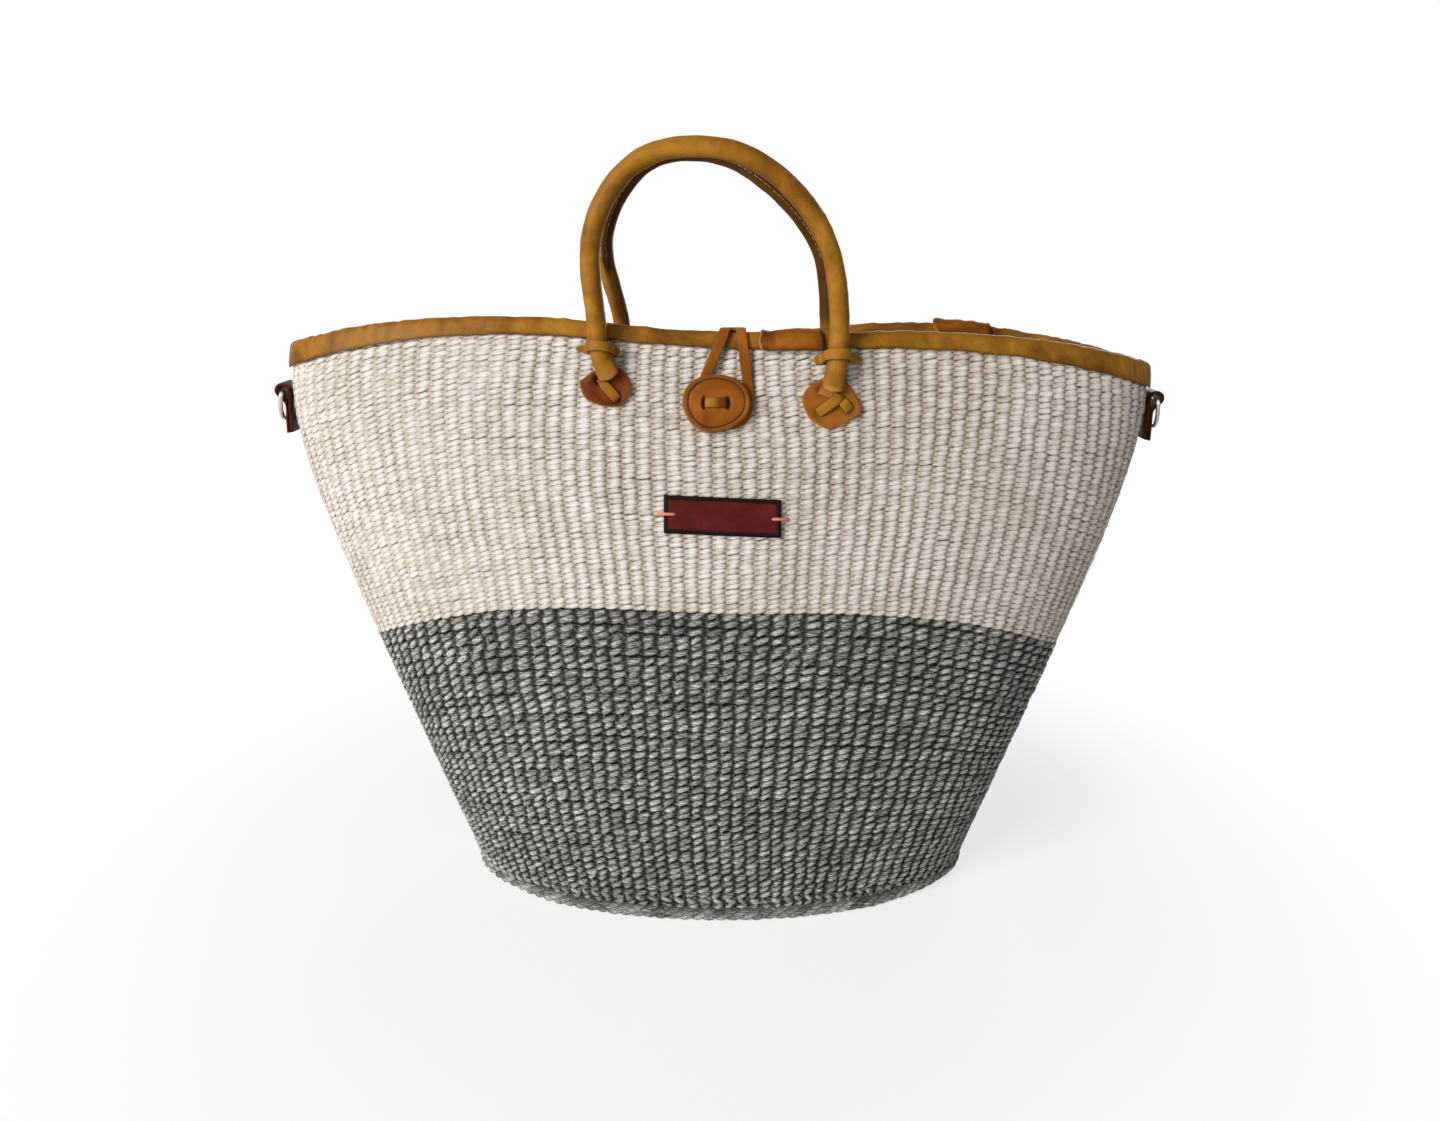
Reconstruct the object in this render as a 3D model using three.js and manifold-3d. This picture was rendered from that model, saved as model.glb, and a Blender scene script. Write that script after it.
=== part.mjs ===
// Sisal basket bag: a twined oval basket in two colours, with a rolled leather rim, two rolled
// leather handles, a leather button with its closing loop, a leather label and two side rings.
// Millimetres. X runs to the right, Y runs from the front wall to the back wall, Z is up.
// The origin is the centre of the underside of the base.
import * as THREE from "three";
import { ParametricGeometry } from "three/addons/geometries/ParametricGeometry.js";
import { mergeVertices } from "three/addons/utils/BufferGeometryUtils.js";
import Module from "manifold-3d";

const wasm = await Module();
wasm.setup();

// Driving dimensions

const GAP = 0.3; // running gap between pieces that touch
const AROUND = 48; // facets around the basket

// Basket wall
const WALL_THICKNESS = 4;
const BASE_HALF_WIDTH = 146.5;
const BASE_HALF_DEPTH = 68;
const BASE_THICKNESS = 5;
const RIM_HALF_DEPTH = 36;
const END_FLARE = 104.5; // how far each end leans out from base to rim
const END_TUCK = 17; // how far the pull of the handles draws the ends in again at the rim
const DEPTH_BULGE = 24; // how far the filled-out sides swell past a straight slope
const RIM_END_FULLNESS = 0.35; // fuller ends than an ellipse, at the rim
const COLOUR_LINE = 0.582; // share of the rows that is grey
const ROW_SAG = 30; // how far the middle rows hang at the ends

// Rim line
const RIM_CREST = 333;
const RIM_END_FALL = 20;
const RIM_LEAN = 5.5; // the right end has settled lower than the left
const FRONT_RIM_DIP = 6;
const BACK_RIM_DIP = 13;
const FRONT_DIP_SPREAD = 0.36;
const BACK_DIP_SPREAD = 0.35;
const BACK_LEFT_SLUMP = 7.5; // how far the back rim sinks half way to its left end

// Base edge
const RIDGE_HEIGHT = 8.5;
const RIDGE_WIDTH = 4;

// Rim binding
const CORD_RADIUS = 2;
const BINDING_LEATHER = 1.5;
const BINDING_OVERLAP_MIDDLE = 2.9;
const BINDING_OVERLAP_END = 8.5;
const FRONT_JOINT_X = 37;
const BACK_JOINT_X = 141;
const JOINT_COVER_LENGTH = 30;

// Handles
const HANDLE_RADIUS = 5;
const HANDLE_LEATHER = 1.5;
const HANDLE_SIDES = 8;
const HANDLE_SPREAD = 60.8; // half the distance between the two legs
const HANDLE_SQUARENESS = 2.3; // exponent of the arch: 2 is an ellipse, more is squarer
const FRONT_HANDLE_X = -1;
const FRONT_HANDLE_RISE = 82; // from the swing axis to the middle of the tube at its top
const FRONT_HANDLE_LEAN = -11;
const FRONT_HANDLE_SWELL = 2; // how far each leg bows outwards half way up
const BACK_HANDLE_X = 3;
const BACK_HANDLE_RISE = 94;
const BACK_HANDLE_LEAN = -20;
const BACK_HANDLE_SWELL = 6;
const HANDLE_AXIS_ABOVE_RIM = 0.5;
const HANDLE_OFF_BINDING = 0.8;
const SEAM_FLANGE_WIDTH = 3.5;
const SEAM_FLANGE_THICKNESS = 2.6;

// Handle fastenings
const PATCH_THICKNESS = 2;
const TIE_LEATHER = 1.6;
const TIE_HEIGHT = 7;
const TIE_TAIL = 6;
const THONG_WIDTH = 4.4;
const THONG_THICKNESS = 1.5;
const LEG_RADIUS = 1.3;
const KNOT_RADIUS = 2;

// Button and closing loop
const BUTTON_X = -2;
const BUTTON_Z = RIM_CREST - 42;
const BUTTON_HALF_WIDTH = 17.2;
const BUTTON_HALF_HEIGHT = 14.8;
const BUTTON_LEATHER = 1.8;
const BUTTON_HOLE_SPREAD = 4.9;
const BUTTON_STITCH_INSET = 2.4;
const BUTTON_THREAD_RADIUS = 0.4;
const STEM_RADIUS = 2.5;
const STRAP_THICKNESS = 1.5;
const STRAP_LEFT = 0;
const STRAP_WIDTH = 13.4;
const STRAP_LEG_WIDTH = 4.6;
const STRAP_FORK_BEHIND_RIM = 12;
const STRAP_SWELL = 0.1; // how much fuller the uncut strap is than its two legs, on each side
const STRAP_ANCHOR_LOW = RIM_CREST - 51;
const STRAP_ANCHOR_LENGTH = 20;

// Label
const LABEL_X = 1.3;
const LABEL_Z = RIM_CREST - 97;
const LABEL_WIDTH = 60;
const LABEL_HEIGHT = 19;
const LABEL_THICKNESS = 1.5;
const LABEL_TILT = THREE.MathUtils.degToRad(2.4);
const THREAD_RADIUS = 0.5;

// Side tabs and rings
const TAB_WIDTH = 15;
const TAB_LEATHER = 1.6;
const TAB_LENGTH = 27;
const TAB_EYE_RADIUS = 2.7;
const TAB_SLIT = 0.2;
const LEFT_TAB_DROP = 8; // from the lower edge of the binding to the top of the tab
const RIGHT_TAB_DROP = 1;
const RING_WIRE_RADIUS = 1.15;
const RING_DEPTH = 15;
const RING_SIDE_PLAY = 0.9; // between each side of the tab and the wire

// Materials

const material = (color, roughness, metalness = 0) =>
  new THREE.MeshStandardMaterial({ color, roughness, metalness });
const finishes = {
  greySisal: () => material(0x7d7d78, 0.95),
  creamSisal: () => material(0xe1dac8, 0.95),
  rope: () => material(0xb9a27a, 0.95),
  tanLeather: () => material(0xb07a2c, 0.45),
  brownLeather: () => material(0x8a4f1e, 0.5),
  darkLeather: () => material(0x6e2a1c, 0.5),
  labelLeather: () => material(0x8a2a26, 0.5),
  nickel: () => material(0xc9c9c4, 0.25, 1),
  brownThread: () => material(0x5a3418, 0.8),
  pinkThread: () => material(0xd9808a, 0.8),
  orangeThread: () => material(0xe08a3c, 0.8),
};

// The wall as a surface: phi goes round it (0 at the right end, the front wall below zero), and
// row goes up it from 0 at the base to 1 at the rim, along the rows of the weave.

const bindingRadius = CORD_RADIUS + GAP + BINDING_LEATHER;
const bindingRise = 2 * (CORD_RADIUS + GAP) + BINDING_LEATHER;
const flareHeight = 0.907 * RIM_CREST;
const up = new THREE.Vector3(0, 0, 1);

function rimTop(phi) {
  const across = Math.cos(phi);
  const isFront = Math.sin(phi) < 0;
  const dip = isFront ? FRONT_RIM_DIP : BACK_RIM_DIP;
  const spread = isFront ? FRONT_DIP_SPREAD : BACK_DIP_SPREAD;
  const fall = RIM_END_FALL * across ** 4 + dip * Math.exp(-((across / spread) ** 2));
  const slumps = !isFront && across < 0;
  const slump = slumps ? BACK_LEFT_SLUMP * Math.sin(Math.PI * across) ** 2 : 0;
  return RIM_CREST - fall - slump - RIM_LEAN * Math.sin((Math.PI / 2) * across);
}

const wallTop = (phi) => rimTop(phi) - bindingRise;
const sagAt = (phi) => 4 * ROW_SAG * Math.abs(Math.cos(phi)) ** 2.5;

function halfWidth(z) {
  const share = z / flareHeight;
  return BASE_HALF_WIDTH + END_FLARE * share - END_TUCK * share ** 8;
}

function halfDepth(z) {
  const share = z / RIM_CREST;
  const slope = BASE_HALF_DEPTH + (RIM_HALF_DEPTH - BASE_HALF_DEPTH) * share;
  return slope + DEPTH_BULGE * Math.sin(Math.PI * share);
}

function skin(phi, row) {
  const z = row * wallTop(phi) - sagAt(phi) * row * (1 - row);
  const fullness = RIM_END_FULLNESS * (z / RIM_CREST) ** 2 * Math.cos(phi) ** 2;
  const x = halfWidth(z) * Math.cos(phi);
  const y = halfDepth(z) * Math.sin(phi) * (1 + fullness);
  return new THREE.Vector3(x, y, z);
}

// The row that passes height z.
function rowAt(phi, z) {
  const sag = sagAt(phi);
  const rate = wallTop(phi) - sag;
  return (2 * z) / (rate + Math.sqrt(rate * rate + 4 * sag * z));
}

const SKIN_STEP = 1e-3;
const aroundWall = (phi, row) =>
  skin(phi + SKIN_STEP, row).sub(skin(phi - SKIN_STEP, row));
const upWall = (phi, row) =>
  skin(phi, row + SKIN_STEP).sub(skin(phi, row - SKIN_STEP));

function wallPoint(phi, row, out = 0) {
  const normal = aroundWall(phi, row).cross(upWall(phi, row)).normalize();
  return skin(phi, row).addScaledVector(normal, out);
}

// The row that lies the length down below the rim end of the wall.
function rowBelowTop(phi, down) {
  return 1 - (down * 2 * SKIN_STEP) / upWall(phi, 1).length();
}

const FRONT = -1;
const BACK = 1;
const phiAt = (x, z, side) => Math.sign(side) * Math.acos(x / halfWidth(z));

// A place on the front or back wall at x and z, with its right, up and outward directions.
function placeOnWall(x, z, side) {
  const phi = phiAt(x, z, side);
  return placeAt(phi, rowAt(phi, z));
}

function placeAt(phi, row) {
  const origin = wallPoint(phi, row);
  const out = wallPoint(phi, row, 1).sub(origin);
  const right = up.clone().cross(out).normalize();
  const along = out.clone().cross(right);
  const matrix = new THREE.Matrix4().makeBasis(right, along, out).setPosition(origin);
  return { phi, row, origin, right, along, out, matrix };
}

const pointOn = (place, x, y, z) => new THREE.Vector3(x, y, z).applyMatrix4(place.matrix);
const outsideWall = (x, z, side, out) => {
  const phi = phiAt(x, z, side);
  return wallPoint(phi, rowAt(phi, z), out);
};

// Solids

// A geometry with its shared vertices merged, moved to a place if one is given.
function weld(geometry, place) {
  const plain = new THREE.BufferGeometry();
  plain.setAttribute("position", geometry.getAttribute("position").clone());
  if (geometry.index) plain.setIndex(geometry.index);
  const welded = mergeVertices(plain, 1e-4);
  return place ? welded.applyMatrix4(place.matrix) : welded;
}

function solid(geometry) {
  const welded = weld(geometry);
  return new wasm.Manifold(
    new wasm.Mesh({
      numProp: 3,
      vertProperties: welded.attributes.position.array,
      triVerts: new Uint32Array(welded.index.array),
    }),
  );
}

function geometryOf(manifold) {
  const made = manifold.getMesh();
  const geometry = new THREE.BufferGeometry();
  geometry.setAttribute("position", new THREE.BufferAttribute(made.vertProperties, 3));
  geometry.setIndex(new THREE.BufferAttribute(made.triVerts, 1));
  geometry.computeVertexNormals();
  return geometry;
}

const join = (geometries) =>
  geometries.map(solid).reduce((whole, piece) => whole.add(piece));
const cut = (geometry, cutters) =>
  cutters.map(solid).reduce((whole, piece) => whole.subtract(piece), solid(geometry));

// A closed ring round the basket, from the outline of its section at each angle.
function ringRound(sectionAt) {
  const sections = Array.from({ length: AROUND }, (_, i) =>
    sectionAt((i * 2 * Math.PI) / AROUND),
  );
  const count = sections[0].length;
  const place = (u, v, target) => {
    const section = sections[Math.round(u * AROUND) % AROUND];
    target.copy(section[Math.round(v * count) % count]);
  };
  return new ParametricGeometry(place, AROUND, count);
}

// A solid through a row of four-cornered sections.
function loft(sections) {
  const corners = sections.flat();
  const positions = corners.flatMap((corner) => corner.toArray());
  const index = [0, 1, 2, 0, 2, 3];
  for (let i = 0; i + 1 < sections.length; i++) {
    for (let k = 0; k < 4; k++) {
      const a = 4 * i + k;
      const b = 4 * i + ((k + 1) % 4);
      index.push(a, a + 4, b, b, a + 4, b + 4);
    }
  }
  const last = 4 * (sections.length - 1);
  index.push(last, last + 2, last + 1, last, last + 3, last + 2);
  const geometry = new THREE.BufferGeometry();
  geometry.setAttribute("position", new THREE.Float32BufferAttribute(positions, 3));
  geometry.setIndex(index);
  return geometry;
}

// The corners of an oval, counterclockwise.
function ovalPoints(halfAcross, halfUp, sides) {
  return Array.from({ length: sides }, (_, i) => {
    const angle = (i * 2 * Math.PI) / sides;
    return new THREE.Vector2(halfAcross * Math.cos(angle), halfUp * Math.sin(angle));
  });
}

const disc = (radius, sides) => new THREE.Shape(ovalPoints(radius, radius, sides));

function tube(curve, radius, steps, sides) {
  return new THREE.ExtrudeGeometry(disc(radius, sides), { steps, extrudePath: curve });
}

// A round peg along a place's outward direction, from one height over the wall to another.
function peg(place, x, y, radius, from, to, sides = 6) {
  const geometry = new THREE.CylinderGeometry(radius, radius, to - from, sides);
  geometry.rotateX(Math.PI / 2);
  geometry.translate(x, y, (from + to) / 2);
  return weld(geometry, place);
}

// A round leather or thread leg that goes through the wall and ends in a knot inside.
function knottedLeg(place, x, y, top) {
  const knotHeight = -(WALL_THICKNESS + GAP + KNOT_RADIUS);
  const knot = new THREE.SphereGeometry(KNOT_RADIUS, 6, 4);
  knot.translate(x, y, knotHeight);
  return [peg(place, x, y, LEG_RADIUS, knotHeight, top), weld(knot, place)];
}

const hole = (place, x, y, radius) => peg(place, x, y, radius + GAP, -20, 20);

// A flat strip of leather between two points over a place.
function strip(place, from, to, height) {
  const run = new THREE.Vector2(to[0] - from[0], to[1] - from[1]);
  const length = run.length() + THONG_WIDTH * 0.6;
  const geometry = new THREE.BoxGeometry(length, THONG_WIDTH, THONG_THICKNESS);
  geometry.rotateZ(run.angle());
  geometry.translate((from[0] + to[0]) / 2, (from[1] + to[1]) / 2, height);
  return weld(geometry, place);
}

const bag = new THREE.Group();

function add(name, shape, finish) {
  const geometry = shape.isBufferGeometry ? geometryOf(solid(shape)) : geometryOf(shape);
  const mesh = new THREE.Mesh(geometry, finish());
  mesh.name = name;
  bag.add(mesh);
}

const wallHoles = [];

function drillWall(place, points, radius) {
  points.forEach(([x, y]) => wallHoles.push(hole(place, x, y, radius)));
}

// Base

function addBase() {
  const inset = WALL_THICKNESS + GAP;
  const outline = ovalPoints(BASE_HALF_WIDTH - inset, BASE_HALF_DEPTH - inset, AROUND);
  const options = { depth: BASE_THICKNESS, bevelEnabled: false };
  const panel = new THREE.ExtrudeGeometry(new THREE.Shape(outline), options);
  add("base_panel", panel, finishes.greySisal);

  const profile = [
    [GAP, 0],
    [0.7 * RIDGE_WIDTH, 0],
    [RIDGE_WIDTH, 0.2 * RIDGE_HEIGHT],
    [RIDGE_WIDTH, 0.7 * RIDGE_HEIGHT],
    [0.5 * RIDGE_WIDTH, RIDGE_HEIGHT],
    [GAP, RIDGE_HEIGHT],
    [GAP, 0.5 * RIDGE_HEIGHT],
  ];
  const ridge = ringRound((phi) =>
    profile.map(([out, z]) => {
      const row = rowAt(phi, z);
      const level = aroundWall(phi, row).cross(up).normalize();
      return skin(phi, row).addScaledVector(level, out);
    }),
  );
  add("base_edge_ridge", ridge, finishes.greySisal);
}

// Woven wall, in its two colours

function wallBand(rowsAt) {
  return ringRound((phi) => {
    const rows = rowsAt(phi);
    const inside = [...rows].reverse();
    return [
      ...rows.map((row) => wallPoint(phi, row)),
      ...inside.map((row) => wallPoint(phi, row, -WALL_THICKNESS)),
    ];
  });
}

const evenRows = (from, to, segments) =>
  Array.from({ length: segments + 1 }, (_, i) => from + ((to - from) * i) / segments);

function addWall() {
  const seam = GAP / RIM_CREST;
  const greyRows = evenRows(0, COLOUR_LINE, 4);
  add("wall_grey_band", wallBand(() => greyRows), finishes.greySisal);
  const cream = wallBand((phi) => [...evenRows(COLOUR_LINE + seam, bindingFootRow(phi), 4), 1]);
  add("wall_cream_band", cut(cream, wallHoles), finishes.creamSisal);
}

// Rim: a cord on the edge of the wall under a rolled leather binding, which is two strips that
// meet under two short covers

const bindingOverlap = (phi) =>
  BINDING_OVERLAP_MIDDLE + (BINDING_OVERLAP_END - BINDING_OVERLAP_MIDDLE) * Math.cos(phi) ** 2;
const bindingFootRow = (phi) => rowBelowTop(phi, bindingOverlap(phi));
const bindingFoot = (phi, out = 0) => wallPoint(phi, bindingFootRow(phi), out);

function rimFrame(phi) {
  const edge = wallPoint(phi, 1, -WALL_THICKNESS / 2);
  const along = upWall(phi, 1).normalize();
  const out = aroundWall(phi, 1).cross(along).normalize();
  const centre = edge.addScaledVector(along, GAP + CORD_RADIUS);
  return { centre, along, out };
}

const CORD_STEPS = 3;
const BINDING_STEPS = 4;

// Points on an arc over the cord, from the outer side to the inner side.
function overCord(frame, radius, steps) {
  return Array.from({ length: steps + 1 }, (_, i) => {
    const angle = (i * Math.PI) / steps;
    return frame.centre
      .clone()
      .addScaledVector(frame.out, radius * Math.cos(angle))
      .addScaledVector(frame.along, radius * Math.sin(angle));
  });
}

function bindingSection(phi, clearance, innerSteps) {
  const frame = rimFrame(phi);
  const outer = clearance + BINDING_LEATHER;
  const halfWall = WALL_THICKNESS / 2;
  const foot = bindingFootRow(phi);
  const legs = (out) => [wallPoint(phi, foot, out - halfWall), wallPoint(phi, 1, out - halfWall)];
  const innerLegs = (out) => legs(-out).reverse();
  return [
    ...legs(outer),
    ...overCord(frame, outer, BINDING_STEPS),
    ...innerLegs(outer),
    ...innerLegs(clearance).reverse(),
    ...overCord(frame, clearance, innerSteps).reverse(),
    ...legs(clearance).reverse(),
  ];
}

function jointBox(x, length, side) {
  const depth = 4 * RIM_HALF_DEPTH;
  const box = new THREE.BoxGeometry(length, depth, RIM_CREST);
  return box.translate(x, (side * depth) / 2, RIM_CREST);
}

function addRim() {
  const cord = ringRound((phi) => {
    const frame = rimFrame(phi);
    return [CORD_RADIUS, -CORD_RADIUS].flatMap((radius) =>
      overCord(frame, radius, CORD_STEPS).slice(0, CORD_STEPS),
    );
  });
  add("rim_cord", cord, finishes.rope);

  const binding = ringRound((phi) => bindingSection(phi, CORD_RADIUS + GAP, CORD_STEPS));
  const joints = [jointBox(FRONT_JOINT_X, GAP, FRONT), jointBox(BACK_JOINT_X, GAP, BACK)];
  const strips = cut(binding, joints).decompose();
  strips.sort((a, b) => a.boundingBox().min[0] - b.boundingBox().min[0]);
  add("rim_binding_left", strips[0], finishes.tanLeather);
  add("rim_binding_right", strips[1], finishes.tanLeather);

  const cover = ringRound((phi) => bindingSection(phi, bindingRadius + GAP, BINDING_STEPS));
  [
    ["front", FRONT_JOINT_X, FRONT],
    ["back", BACK_JOINT_X, BACK],
  ].forEach(([label, x, side]) => {
    const piece = solid(cover).intersect(solid(jointBox(x, JOINT_COVER_LENGTH, side)));
    add("rim_joint_cover_" + label, piece, finishes.brownLeather);
  });
}

// Handles

// The middle line of the tube: a squared arch that leans to one side, with legs that bow out.
class HandleArch extends THREE.Curve {
  constructor(centre, rise, lean, swell) {
    super();
    this.centre = centre;
    this.rise = rise;
    this.lean = lean;
    this.swell = swell;
  }

  getPoint(t, target = new THREE.Vector3()) {
    const angle = Math.PI * (1 - t);
    const power = 2 / HANDLE_SQUARENESS;
    const reach = Math.sign(Math.cos(angle)) * Math.abs(Math.cos(angle)) ** power;
    const share = Math.max(0, Math.sin(angle)) ** power;
    const halfWidth = HANDLE_SPREAD + this.swell * Math.sin(Math.PI * share) ** 2;
    const x = halfWidth * reach + this.lean * share ** 1.2;
    return target.copy(this.centre).add(new THREE.Vector3(x, 0, this.rise * share));
  }
}

// A stretch of another curve, for what runs along part of it.
class Stretch extends THREE.Curve {
  constructor(whole, from, to) {
    super();
    this.whole = whole;
    this.from = from;
    this.to = to;
  }

  getPoint(t, target = new THREE.Vector3()) {
    return this.whole.getPointAt(this.from + (this.to - this.from) * t, target);
  }
}

const ARCH_STEPS = 20;

function addHandleArch(label, side, arch) {
  const innerRadius = HANDLE_RADIUS - HANDLE_LEATHER;
  const section = disc(HANDLE_RADIUS, HANDLE_SIDES);
  section.holes.push(new THREE.Path(ovalPoints(innerRadius, innerRadius, HANDLE_SIDES)));
  const cover = new THREE.ExtrudeGeometry(section, { steps: ARCH_STEPS, extrudePath: arch });

  // The stitched seam stands up from the tube on the side of the mouth.
  const root = innerRadius + HANDLE_LEATHER / 2;
  const tip = HANDLE_RADIUS + SEAM_FLANGE_WIDTH;
  const half = SEAM_FLANGE_THICKNESS / 2;
  const flange = new THREE.Shape();
  flange.moveTo(side * root, -half);
  flange.lineTo(side * tip, -half);
  flange.lineTo(side * tip, half);
  flange.lineTo(side * root, half);
  const seam = new THREE.ExtrudeGeometry(flange, {
    steps: ARCH_STEPS - 6,
    extrudePath: new Stretch(arch, 0.12, 0.88),
  });
  add(label + "_handle_cover", join([cover, seam]), finishes.tanLeather);

  // The rope core ends in a ball on each end of the swing axis.
  const coreRadius = innerRadius * Math.cos(Math.PI / HANDLE_SIDES) - GAP;
  const ends = [0, 1].flatMap((t) => {
    const end = arch.getPoint(t);
    const place = { matrix: new THREE.Matrix4().setPosition(end) };
    const quarter = new THREE.Path().absarc(0, 0, HANDLE_RADIUS, -Math.PI / 2, -GAP / HANDLE_RADIUS);
    const profile = [...quarter.getPoints(2), new THREE.Vector2(0, -GAP)];
    const ball = new THREE.LatheGeometry(profile, HANDLE_SIDES).rotateX(Math.PI / 2);
    return [peg(place, 0, 0, coreRadius - GAP, -2 * GAP, GAP * 10), weld(ball, place)];
  });
  add(label + "_handle_core", join([tube(arch, coreRadius, ARCH_STEPS, 6), ...ends]), finishes.rope);
}

// The lower end of a handle, the tie over it, and the patch and thong that anchor it.
function addHandleFoot(name, axisEnd, patch, footEnd, outline, legs, strips) {
  const top = axisEnd.clone().setZ(axisEnd.z - HANDLE_RADIUS - GAP);
  const seat = GAP + PATCH_THICKNESS;
  const end = pointOn(patch, footEnd[0], footEnd[1], seat + 4 * GAP + HANDLE_RADIUS);
  const roughReach = HANDLE_RADIUS + TIE_LEATHER + TIE_TAIL;
  const bindingZ = [-roughReach, 0, roughReach].map((x) => {
    const phi = phiAt(axisEnd.x + x, top.z, axisEnd.y);
    return bindingFoot(phi, GAP + BINDING_LEATHER).z;
  });
  const tieZ = Math.min(...bindingZ) - 3 * GAP - 0.6 * TIE_HEIGHT;
  const bend = new THREE.Vector3(axisEnd.x, axisEnd.y, tieZ);
  const line = new THREE.QuadraticBezierCurve3(top, bend, end);
  add(name + "_handle_end", tube(line, HANDLE_RADIUS, 8, HANDLE_SIDES), finishes.tanLeather);

  // Tie: a band bent over the tube, with a tail on each side
  const share = (top.z - tieZ) / (top.z - end.z);
  const middle = line.getPointAt(share);
  const tie = placeOnWall(middle.x, tieZ, Math.sign(middle.y));
  const run = line.getTangentAt(share);
  const slant = Math.abs(run.dot(tie.right) / run.dot(tie.along));
  const centreOut = middle.clone().sub(tie.origin).dot(tie.out);
  const inner = HANDLE_RADIUS + 3 * GAP + (slant * TIE_HEIGHT) / 2;
  const outer = inner + TIE_LEATHER;
  const reach = outer + TIE_TAIL;
  const shape = new THREE.Shape();
  shape.moveTo(reach, GAP);
  shape.lineTo(reach, GAP + TIE_LEATHER);
  shape.lineTo(outer, GAP + TIE_LEATHER);
  shape.lineTo(outer, centreOut);
  shape.absarc(0, centreOut, outer, 0, Math.PI, false);
  shape.lineTo(-outer, GAP + TIE_LEATHER);
  shape.lineTo(-reach, GAP + TIE_LEATHER);
  shape.lineTo(-reach, GAP);
  shape.lineTo(-inner, GAP);
  shape.lineTo(-inner, centreOut);
  shape.absarc(0, centreOut, inner, Math.PI, 0, true);
  shape.lineTo(inner, GAP);
  const options = { depth: TIE_HEIGHT, curveSegments: 6, bevelEnabled: false };
  const band = new THREE.ExtrudeGeometry(shape, options);
  band.translate(0, 0, -TIE_HEIGHT / 2).rotateX(Math.PI / 2);
  const legX = outer + TIE_TAIL / 2;
  const tieLegs = [-legX, legX].flatMap((x) => knottedLeg(tie, x, 0, GAP + TIE_LEATHER / 2));
  add(name + "_handle_tie", join([weld(band, tie), ...tieLegs]), finishes.tanLeather);
  drillWall(tie, [[-legX, 0], [legX, 0]], LEG_RADIUS);

  // Patch
  const plate = new THREE.ExtrudeGeometry(
    new THREE.Shape(outline.map(([x, y]) => new THREE.Vector2(x, y))),
    { depth: PATCH_THICKNESS, bevelEnabled: false },
  );
  plate.translate(0, 0, GAP);
  const patchHoles = legs.map(([x, y]) => hole(patch, x, y, LEG_RADIUS));
  add(name + "_handle_patch", cut(weld(plate, patch), patchHoles), finishes.darkLeather);

  // Thong
  const height = seat + GAP + THONG_THICKNESS / 2;
  const pieces = [
    ...strips.map(([from, to]) => strip(patch, from, to, height)),
    ...legs.flatMap(([x, y]) => knottedLeg(patch, x, y, height)),
  ];
  add(name + "_handle_thong", join(pieces), finishes.tanLeather);
  drillWall(patch, legs, LEG_RADIUS);
}

// Patches: how far each sits inward of its handle leg and below the binding, and its outline
// and holes about its own middle, seen from outside the bag.
const POINTED_PATCH = {
  inward: 3.8,
  drop: 24,
  footEnd: [3.7, 7.6],
  outline: [
    [-3.2, 13],
    [-13.3, 5],
    [-12, -1.5],
    [-2.1, -8.4],
    [5.8, -8.2],
    [13.3, -2.4],
    [13.8, 3.2],
    [8.5, 13],
  ],
  legs: [
    [-3.6, 4.4],
    [5.6, -4],
  ],
  strips: [
    [
      [-3.6, 4.4],
      [5.6, -4],
    ],
  ],
};
const ROUND_PATCH = {
  inward: 3.8,
  drop: 26,
  footEnd: [0.8, 8.4],
  outline: [
    [-4.8, 14],
    [-12, 9.5],
    [-15.4, 2.8],
    [-12.7, -6.7],
    [-2.1, -13.4],
    [6.4, -10.8],
    [14.8, -2.8],
    [11.5, 5],
    [6.4, 14],
  ],
  legs: [
    [-6.8, -5.6],
    [9.6, -4.6],
    [-5, 5.6],
  ],
  strips: [
    [
      [-6.8, -5.6],
      [4.5, 1.6],
    ],
    [
      [4.5, 1.6],
      [9.6, -4.6],
    ],
    [
      [4.5, 1.6],
      [-5, 5.6],
    ],
  ],
};

function addHandle(label, side, middleX, rise, lean, swell) {
  const legPhis = [-1, 1].map((end) => phiAt(middleX + end * HANDLE_SPREAD, wallTop(side), side));
  const bindingY = legPhis.map((phi) => Math.abs(bindingFoot(phi, GAP + BINDING_LEATHER).y));
  const axisY = side * (Math.max(...bindingY) + HANDLE_OFF_BINDING + HANDLE_RADIUS);
  const axisZ = Math.max(...legPhis.map(rimTop)) + HANDLE_AXIS_ABOVE_RIM;
  const arch = new HandleArch(new THREE.Vector3(middleX, axisY, axisZ), rise, lean, swell);
  addHandleArch(label, side, arch);

  const ends = [
    ["left", POINTED_PATCH, arch.getPoint(0), 1],
    ["right", ROUND_PATCH, arch.getPoint(1), -1],
  ];
  ends.forEach(([end, form, axisEnd, toMiddle]) => {
    // A back patch is the front one turned over, so that both point the same way.
    const flip = ([x, y]) => [-side * x, y];
    const x = axisEnd.x + toMiddle * form.inward;
    const foot = bindingFoot(phiAt(x, wallTop(side), side));
    const patch = placeOnWall(x, foot.z - form.drop, side);
    const outline = form.outline.map(flip);
    if (side === BACK) outline.reverse();
    const strips = form.strips.map((points) => points.map(flip));
    const legs = form.legs.map(flip);
    addHandleFoot(label + "_" + end, axisEnd, patch, flip(form.footEnd), outline, legs, strips);
  });
}

// Button

const loopLift = GAP + STRAP_THICKNESS + GAP;
const buttonBack = loopLift + GAP;
const buttonMiddle = buttonBack + BUTTON_LEATHER + GAP;
const buttonFront = buttonMiddle + BUTTON_LEATHER;

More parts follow.
